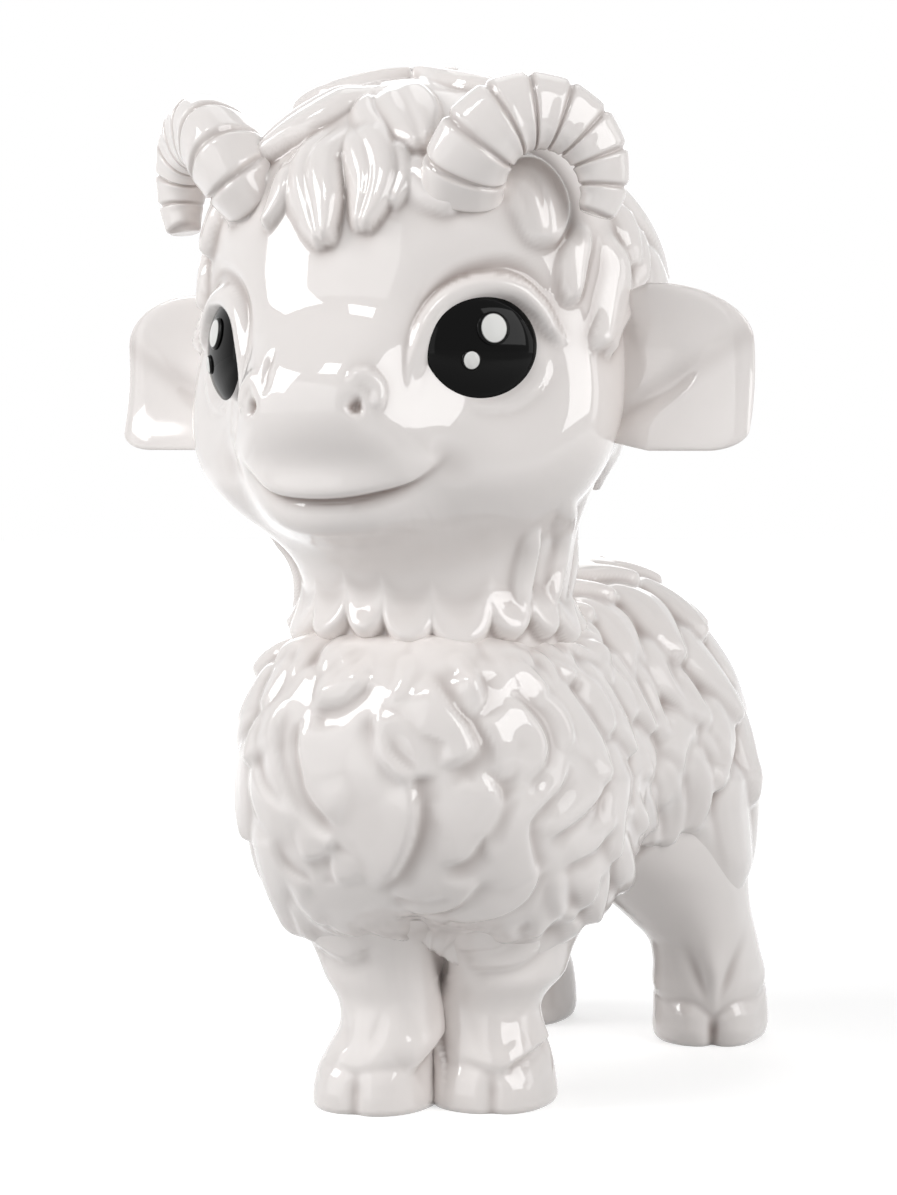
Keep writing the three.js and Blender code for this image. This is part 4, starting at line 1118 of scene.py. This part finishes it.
def along(path, count):
    """A path read evenly along its length, with its tangents."""
    dense = curve(path, TUBE_READINGS)
    gone = walked(dense)
    even = np.linspace(0, gone[-1], count)
    points = np.stack([np.interp(even, gone, dense[:, k]) for k in range(3)], -1)
    return points, unit(np.gradient(points, axis=0))


def tube(path, across, radius):
    """A section carried along a path: rings of radii, turned from across to square to it and the path."""
    points, tangent = along(path, len(radius))
    first = unit(across - (tangent @ across)[:, None] * tangent)
    second = np.cross(tangent, first)
    turn = around(radius.shape[1])[None, :, None]
    out = first[:, None] * np.cos(turn) + second[:, None] * np.sin(turn)
    return points[:, None] + out * radius[..., None]


def horn_grid(side):
    """A tapering coil with a rounded triangular section, and the shade painted into its grooves.

    A thin groove, a bell along the coil, parts each rib from the next and fades at the coil's back.
    """
    sweep = math.radians(HORN_SWEEP)
    sideways = np.array([side * math.cos(sweep), math.sin(sweep), 0])
    face = np.array([-side * math.sin(sweep), math.cos(sweep), 0])
    middle = np.array([side * HORN_SIDE, -HORN_FORWARD, size("head_level") + HORN_RISE])
    i = np.arange(-HORN_BURIED, HORN_STATIONS + 1)
    angle = np.pi - np.radians(HORN_TURN * i / HORN_STATIONS)
    coil = size("horn_coil") / 2
    path = middle + coil * np.cos(angle)[:, None] * sideways
    inward = unit(-path * np.array([1, 1, 0]))
    sunk = np.clip((HORN_CLEAR - i) / (HORN_CLEAR + HORN_BURIED), 0, 1)
    path = path + inward * (HORN_SINK * sunk**2)[:, None]
    path[:, 2] += coil * np.sin(angle)
    t, turn = np.linspace(0, 1, HORN_ROWS)[:, None], around(HORN_COLUMNS)
    thick = size("horn_root") + (HORN_TIP - size("horn_root")) * t**3
    phase = np.abs((HORN_RIBS * t + 0.5) % 1 - 0.5)
    front = steps(-np.cos(turn), -0.9, 0.4)
    notch = (bell(phase, 0.08) - 0.1 * np.cos(2 * np.pi * phase)) * (0.25 + 0.75 * front)
    corner = 1 + 0.07 * np.cos(3 * turn + 0.6)
    radius = thick * corner - HORN_GROOVE * notch * np.clip(thick / 6, 0.4, 1)
    # The second grid is painted shade in the grooves between ribs, stronger on the front
    return tube(path, face, radius), 0.6 * bell(phase, 0.1) * (0.3 + 0.7 * front)


class KID_OT_horns(bpy.types.Operator):
    """Ribbed, curled horns."""

    bl_idname = "kid.horns"
    bl_label = "Horns"

    def execute(self, context):
        for label, side in SIDES:
            grid, shade_and_lap = horn_grid(side)
            finish_piece(f"{label}_horn", f"{label}_ribbed_horn", "white_glaze", grid, "fans", shade_and_lap)
        return {"FINISHED"}


# Ears

EAR_CUP, EAR_DROP, EAR_THICKNESS, EAR_ROOT = 5.0, 4.0, 5.5, 14.0
# The last is how strong the shade painted into an ear's dip is
EAR_DIP, EAR_DIP_WIDTH, EAR_SHADE = 1.2, 3.0, 0.25
EAR_ROWS, EAR_COLUMNS = 120, 110


def ear_grid(side):
    """A cupped paddle and the shade painted into its dip.

    Sections of rising, then rounded height go from the head to a nearly straight tip.
    """
    half, root = size("ear_height") / 2, size("skull_width") / 2 - EAR_ROOT
    t = 1 - (1 - np.linspace(0, 1, EAR_ROWS)[:, None]) ** 1.7

    def rounded(start):
        """1 up to the start, then down to 0 at the tip as a quarter circle."""
        return np.sqrt(1 - np.clip((t - start) / (1 - start), 0, 1) ** 2)

    top = half * np.minimum(0.6 + 0.8 * t, 0.3 + 0.7 * rounded(0.5))
    bottom = -half * np.minimum(0.75 + 0.5 * t, 0.75 + 0.25 * rounded(0.8))
    thick = EAR_THICKNESS / 2 * (0.03 + 0.97 * rounded(0.86))
    c, s = np.cos(around(EAR_COLUMNS)), np.sin(around(EAR_COLUMNS))
    up = (top - bottom) / 2 * boxy(c, 0.9) + (top + bottom) / 2
    x = side * (root + (size("ear_span") / 2 - root) * t) + 0 * up
    y = thick * boxy(s, 0.9) - EAR_CUP * (up / half) ** 2
    dip = bell(up + half * (1.1 - 1.5 * t), EAR_DIP_WIDTH) * steps(t, 0.1, 0.3)
    y = y + np.where(s < 0, EAR_DIP, 0) * dip * steps(0.8 - t, 0.0, 0.2)
    made = np.stack([x, y, size("head_level") - EAR_DROP + up], -1), EAR_SHADE * dip
    return [np.roll(a[:, ::-1], 1, axis=1) if side > 0 else a for a in made]


class KID_OT_ears(bpy.types.Operator):
    """Cupped ears."""

    bl_idname = "kid.ears"
    bl_label = "Ears"

    def execute(self, context):
        for label, side in SIDES:
            grid, shade_and_lap = ear_grid(side)
            finish_piece(f"{label}_ear", f"{label}_cupped_ear", "white_glaze", grid, "zip", shade_and_lap)
        return {"FINISHED"}


# Legs

LEG_ROWS, LEG_COLUMNS, LEG_TUCK, LEG_FAR, LEG_FLARE = 170, 160, 6.0, 60.0, 14.0
LEG_INNER = {"foreleg": 1.6, "hind_leg": 0.0}
SOLE_ROUND, SOLE_EDGE = 0.05, 1.6

# Hooves: how far the dewclaw stands out, the cleft goes in, the toes swell and the rim of skin rolls
HOOF_FORMS = {"foreleg": (0.3, 1.3, 0.5, 0.3), "hind_leg": (1.6, 3.0, 1.5, 0.4)}
TOE_BEARINGS = {"foreleg": {1: 25.0, -1: 8.0}, "hind_leg": {1: 26.0, -1: -20.0}}
RIM_HEEL, RIM_FALL, TOE_SIDE = 17.0, 6.5, 7.0

# Outer side of each foreleg: height of its swell or waist, and how far that stands out
FORE_SWELL = {1: (30.0, 2.2), -1: (18.0, -2.0)}
SWELL_WIDTH = 6.0
FETLOCK_EDGES = [
    ([(546, 1034), (528, 1048), (508, 1064), (497, 1080)], 2.2),
    ([(436, 1028), (424, 1052), (407, 1074)], 2.0),
]


def leg_grid(kind, side):
    """Rings of a rounded section up a leg and in under the fleece's hem, and the directions of their rays.

    Each ray from the leg's axis goes out to the skin that leg and trunk share, no further than a set flare.
    A foreleg is thickened on its inner side.
    """
    table = leg_table(kind, side)
    c, s = np.cos(around(LEG_COLUMNS)), np.sin(around(LEG_COLUMNS))
    top = hem_height(table[-1, 4] + 1.2 * table[-1, 2] * s) + LEG_TUCK
    z = np.linspace(0, 1, LEG_ROWS)[:, None] * top
    a, b, x, y = (np.interp(z, table[:, 0], table[:, k]) for k in range(1, 5))
    local = np.stack([a * boxy(c, 2 / LEG_FULLNESS), b * boxy(s, 2 / LEG_FULLNESS), 0 * z], -1)
    axis, ray = np.stack([side * x, y, z], -1), unit(local)

    def joint(p):
        """The leg and the torso that it runs into, as one field."""
        return blended(LEG_BLEND, torso_field(p), leg_field(p, table, side))

    reach = np.linalg.norm(leave(joint, axis, ray, LEG_FAR) - axis, axis=-1)
    radius = np.minimum(reach, np.linalg.norm(local, axis=-1) + LEG_FLARE * steps(z, 26, 46))
    inner = LEG_INNER[kind] * steps(-side * ray[..., 0], 0.3, 1)
    radius = radius + inner * steps(z, 6, 18) * (1 - steps(z, 44, 56))
    radius = radius * (1 - SOLE_ROUND * (1 - np.clip(z / SOLE_EDGE, 0, 1)) ** 2)
    return axis + ray * radius[..., None], ray


def hoof_relief(grid, kind, side):
    """Two rounded toes with a soft valley between them, under a rim of skin that climbs to the heel.

    A dewclaw stands above the rim between two folds. Each form is a bell across and a step or bell upwards.
    """
    dewclaw, cleft, toe, roll = HOOF_FORMS[kind]
    x, back = leg_place(kind, side)
    forward = ahead(TOE_BEARINGS[kind][side])
    local = grid - np.array([side * x, back, 0])
    u, w, z = local @ np.array([-forward[1], forward[0], 0]), local @ forward, grid[..., 2]
    turn = w / np.maximum(np.hypot(u, w), 1e-6)
    facing, aside = steps(turn, 0.2, 0.8), np.abs(u)
    rim = RIM_HEEL - RIM_FALL * steps(turn, -0.6, 1.0)
    rim = rim + facing * toe * (1.2 * bell(aside - TOE_SIDE, 5) - 1.5 * bell(u, 3))
    over = z - rim
    valley = cleft * bell(u, 1.5 + 0.08 * np.clip(-over, 0, 20)) * steps(2 - over, 0, 7)
    wall = toe * bell(aside - TOE_SIDE, 4.5) * steps(-over, 0, 4) * (0.4 + 0.6 * steps(z, 0, 5))
    claw = dewclaw * bell(u, 2.4) * bell(over - 12, 6)
    hollow = 0.7 * dewclaw * bell(aside - 2.5 - 0.4 * (over - 3), 2.2) * bell(over - 9, 6)
    tread = 0.9 * toe * (1 - np.clip(z / 5, 0, 1)) ** 2
    rolled = roll * (bell(over - 3.4, 3.2) - 0.8 * bell(over, 1.3))
    return rolled - tread + facing * (wall + claw - hollow - valley)


def foreleg_relief(grid, out, side):
    """Folds over knee and fetlock, the valley between the forelegs, and the outer side's swell or waist."""
    skin, normals = grid.reshape(-1, 3), out.reshape(-1, 3)
    folds = edge_relief(skin, normals, KNEE_EDGES + FETLOCK_EDGES, legs_field)
    folds += line_relief(skin, normals, seen(VALLEY_LINE, legs_field), VALLEY_HALF, -VALLEY_DEPTH)
    height, amount = FORE_SWELL[side]
    swell = amount * bell(grid[..., 2] - height, SWELL_WIDTH) * steps(side * out[..., 0], -0.1, 0.8)
    return folds.reshape(swell.shape) + swell


class KID_OT_legs(bpy.types.Operator):
    """Legs with cloven hooves."""

    bl_idname = "kid.legs"
    bl_label = "Legs"

    def execute(self, context):
        for label, side in SIDES:
            for kind in LEG_KINDS:
                grid, out = leg_grid(kind, side)
                relief = hoof_relief(grid, kind, side)
                if kind == "foreleg":
                    relief += foreleg_relief(grid, out, side)
                finish_modelled(f"{label}_{kind}", f"{label}_{kind}_cast", grid, out, relief, "fans")
        return {"FINISHED"}


# Tail

TAIL_LENGTH, TAIL_RADIUS, TAIL_STRANDS, TAIL_TWIST = 28.0, 7.0, 5, 2.2
TAIL_PATH = [(0, 0, 0), (0, 9, 3), (0, 14, -5), (0, 14, 8 - TAIL_LENGTH)]
TAIL_ROWS, TAIL_COLUMNS = 110, 90


class KID_OT_tail(bpy.types.Operator):
    """Short tail of twisted strands: a leaf along its path, lobed round it."""

    bl_idname = "kid.tail"
    bl_label = "Tail"

    def execute(self, context):
        middle = size("torso_middle") + size("rump_rise") + size("torso_depth") / 4
        root = np.array([0, size("rump_back") - TAIL_RADIUS, middle])
        t = np.linspace(0, 1, TAIL_ROWS)[:, None]
        leaf = TAIL_RADIUS * (0.1 + 0.9 * np.sin(np.pi * (0.2 + 0.78 * t)) ** 0.8)
        strand = np.sin(TAIL_STRANDS / 2 * (around(TAIL_COLUMNS) + TAIL_TWIST * t))
        radius = leaf * (0.86 + 0.14 * np.abs(strand) ** 0.6)
        grid = tube(root + np.array(TAIL_PATH), np.array([1.0, 0, 0]), radius)
        # Painted shade between the tail's strands
        finish_piece("tail", "tail_lock", "white_glaze", grid, "fans", 0.5 * bell(strand, 0.25))
        return {"FINISHED"}


# Stage

# Soft boxes: name, bearing and height in degrees, distance, width and height in metres, brightness
SOFTBOXES = (
    ("key_softbox", -50, 28, 1.1, 0.45, 0.45, 6.4),
    ("front_softbox", -12, 46, 1.0, 0.22, 0.18, 10.0),
    ("left_panel", -30, 6, 1.3, 1.7, 1.2, 1.2),
    ("window_softbox", 78, 24, 1.1, 0.7, 0.75, 4.0),
    ("side_softbox", 112, 14, 1.2, 0.4, 0.7, 1.4),
    ("top_softbox", 190, 70, 1.2, 0.8, 0.6, 1.0),
    ("back_panel", 212, 22, 1.4, 1.1, 1.1, 1.3),
)
LIT_MIDDLE = 0.15
FLOOR_INNER, FLOOR_RADIUS, FLOOR_RINGS, FLOOR_COLUMNS = 0.02, 4.0, 24, 48
# The paper's own white grows from the figure outwards: two distances in metres, then the share at each
PAPER_NEAR, PAPER_FAR, PAPER_LEAST, PAPER_MOST = 0.2, 0.7, 0.6, 1.0
WORLD_FILL = 0.03
SENSOR = 36


def placed(name, data, x, y, z, place):
    """An object in the scene with its three axes and its place."""
    turned = np.eye(4)
    turned[:3] = np.stack([x, y, z, place], -1)
    made = linked(name, data)
    made.matrix_world = Matrix(turned.tolist())
    return made


def softbox(name, bearing, height, distance, width, tall, brightness):
    """A soft box turned to the figure."""
    light = bpy.data.lights.new(name, "AREA")
    light.shape = "RECTANGLE"
    light.size, light.size_y, light.energy = width, tall, brightness * math.pi * width * tall
    z = raised(bearing, height)
    x = unit(np.cross([0, 0, 1], z))
    placed(name, light, x, np.cross(z, x), z, np.array([0, 0, LIT_MIDDLE]) + distance * z)


def studio_floor():
    """A level pale sheet: rings of points from the middle out."""
    radius = np.linspace(FLOOR_INNER, FLOOR_RADIUS, FLOOR_RINGS)[:, None]
    turn = around(FLOOR_COLUMNS)
    grid = np.stack([radius * np.cos(turn), radius * np.sin(turn), 0 * radius * turn], -1)
    faces = ring_faces(FLOOR_RINGS, FLOOR_COLUMNS)[:, ::-1]
    mesh = bpy.data.meshes.new("studio_floor")
    mesh.from_pydata(grid.reshape(-1, 3).tolist(), [], [list(range(FLOOR_COLUMNS)), *faces.tolist()])
    mesh.materials.append(studio_paper())
    return linked("studio_floor", mesh)


def looked_at(tree):
    """1 on the camera's rays and on those that it follows in a gloss or through a clear surface, else 0."""
    path = tree.nodes.new("ShaderNodeLightPath")
    camera, glossy, clear = (
        Wire(tree, path.outputs[name]) for name in ("Is Camera Ray", "Is Glossy Ray", "Is Transmission Ray")
    )
    return camera.math("MAXIMUM", camera.math("MAXIMUM", camera, glossy), clear)


def studio_paper():
    """Pale paper, shown as white to the camera where no shadow lies."""
    material, shader, place = start_material("studio_paper")
    pale = bpy.context.scene.kid_glazes.floor
    far = place.node("ShaderNodeVectorMath", {"operation": "LENGTH"}, {0: place}, 1)
    spread = {"Value": far, 1: PAPER_NEAR, 2: PAPER_FAR, 3: PAPER_LEAST, 4: PAPER_MOST}
    lift = place.node("ShaderNodeMapRange", None, spread)
    sockets = {
        "Base Color": mixed(noise(place, scale=6.0, detail=2.0), pale, shaded(pale, 0.98)),
        "Emission Color": looked_at(place.tree) * lift,
        "Emission Strength": 1.0,
        "Roughness": 0.9,
    }
    feed(shader, sockets)
    return material


def studio_world():
    """Even pale light, seen as white by the camera and in a gloss."""
    world = bpy.data.worlds.new("studio")
    bpy.context.scene.world = world
    world.use_nodes = True
    tree = world.node_tree
    strength = WORLD_FILL + looked_at(tree) * (1 - WORLD_FILL)
    feed(tree.nodes["Background"], {"Color": (1, 1, 1, 1), "Strength": strength})


class KID_OT_stage(bpy.types.Operator):
    """Floor, soft boxes, pale world and the camera of the photograph."""

    bl_idname = "kid.stage"
    bl_label = "Stage"

    def execute(self, context):
        context.scene.view_settings.view_transform = "Standard"
        floor = studio_floor()
        studio_world()
        for box in SOFTBOXES:
            softbox(*box)
        eye, right, up, forward = camera_axes()
        camera = bpy.data.cameras.new("photograph")
        camera.sensor_fit = "VERTICAL"
        camera.sensor_height = SENSOR
        camera.lens = SENSOR * FOCAL_PIXELS / PHOTO_HEIGHT
        context.scene.camera = placed("photograph", camera, right, up, -forward, put(eye))
        return {"FINISHED"}


# Add-on


class KID_PT_panel(bpy.types.Panel):
    """Lists the pieces, their sizes and their glazes."""

    bl_idname = "KID_PT_panel"
    bl_label = "Ram kid"
    bl_space_type = "VIEW_3D"
    bl_region_type = "UI"
    bl_category = "Ram kid"

    def draw(self, context):
        for operator in OPERATORS:
            self.layout.operator(operator.bl_idname)
        for group in (context.scene.kid_sizes, context.scene.kid_glazes):
            box = self.layout.box()
            for name in group.__annotations__:
                box.prop(group, name)


OPERATORS = (
    KID_OT_stage,
    KID_OT_torso,
    KID_OT_head,
    KID_OT_eyes,
    KID_OT_horns,
    KID_OT_ears,
    KID_OT_legs,
    KID_OT_tail,
)
CLASSES = (KidSizes, KidGlazes, *OPERATORS, KID_PT_panel)


def register():
    """Adds the classes and the scene's settings."""
    for made in CLASSES:
        bpy.utils.register_class(made)
    bpy.types.Scene.kid_sizes = bpy.props.PointerProperty(type=KidSizes)
    bpy.types.Scene.kid_glazes = bpy.props.PointerProperty(type=KidGlazes)


def unregister():
    """Takes them away again."""
    del bpy.types.Scene.kid_glazes
    del bpy.types.Scene.kid_sizes
    for made in reversed(CLASSES):
        bpy.utils.unregister_class(made)


def main():
    """Builds every piece."""
    register()
    for operator in OPERATORS:
        getattr(bpy.ops.kid, operator.bl_idname.split(".")[1])()


if __name__ == "__main__":
    main()
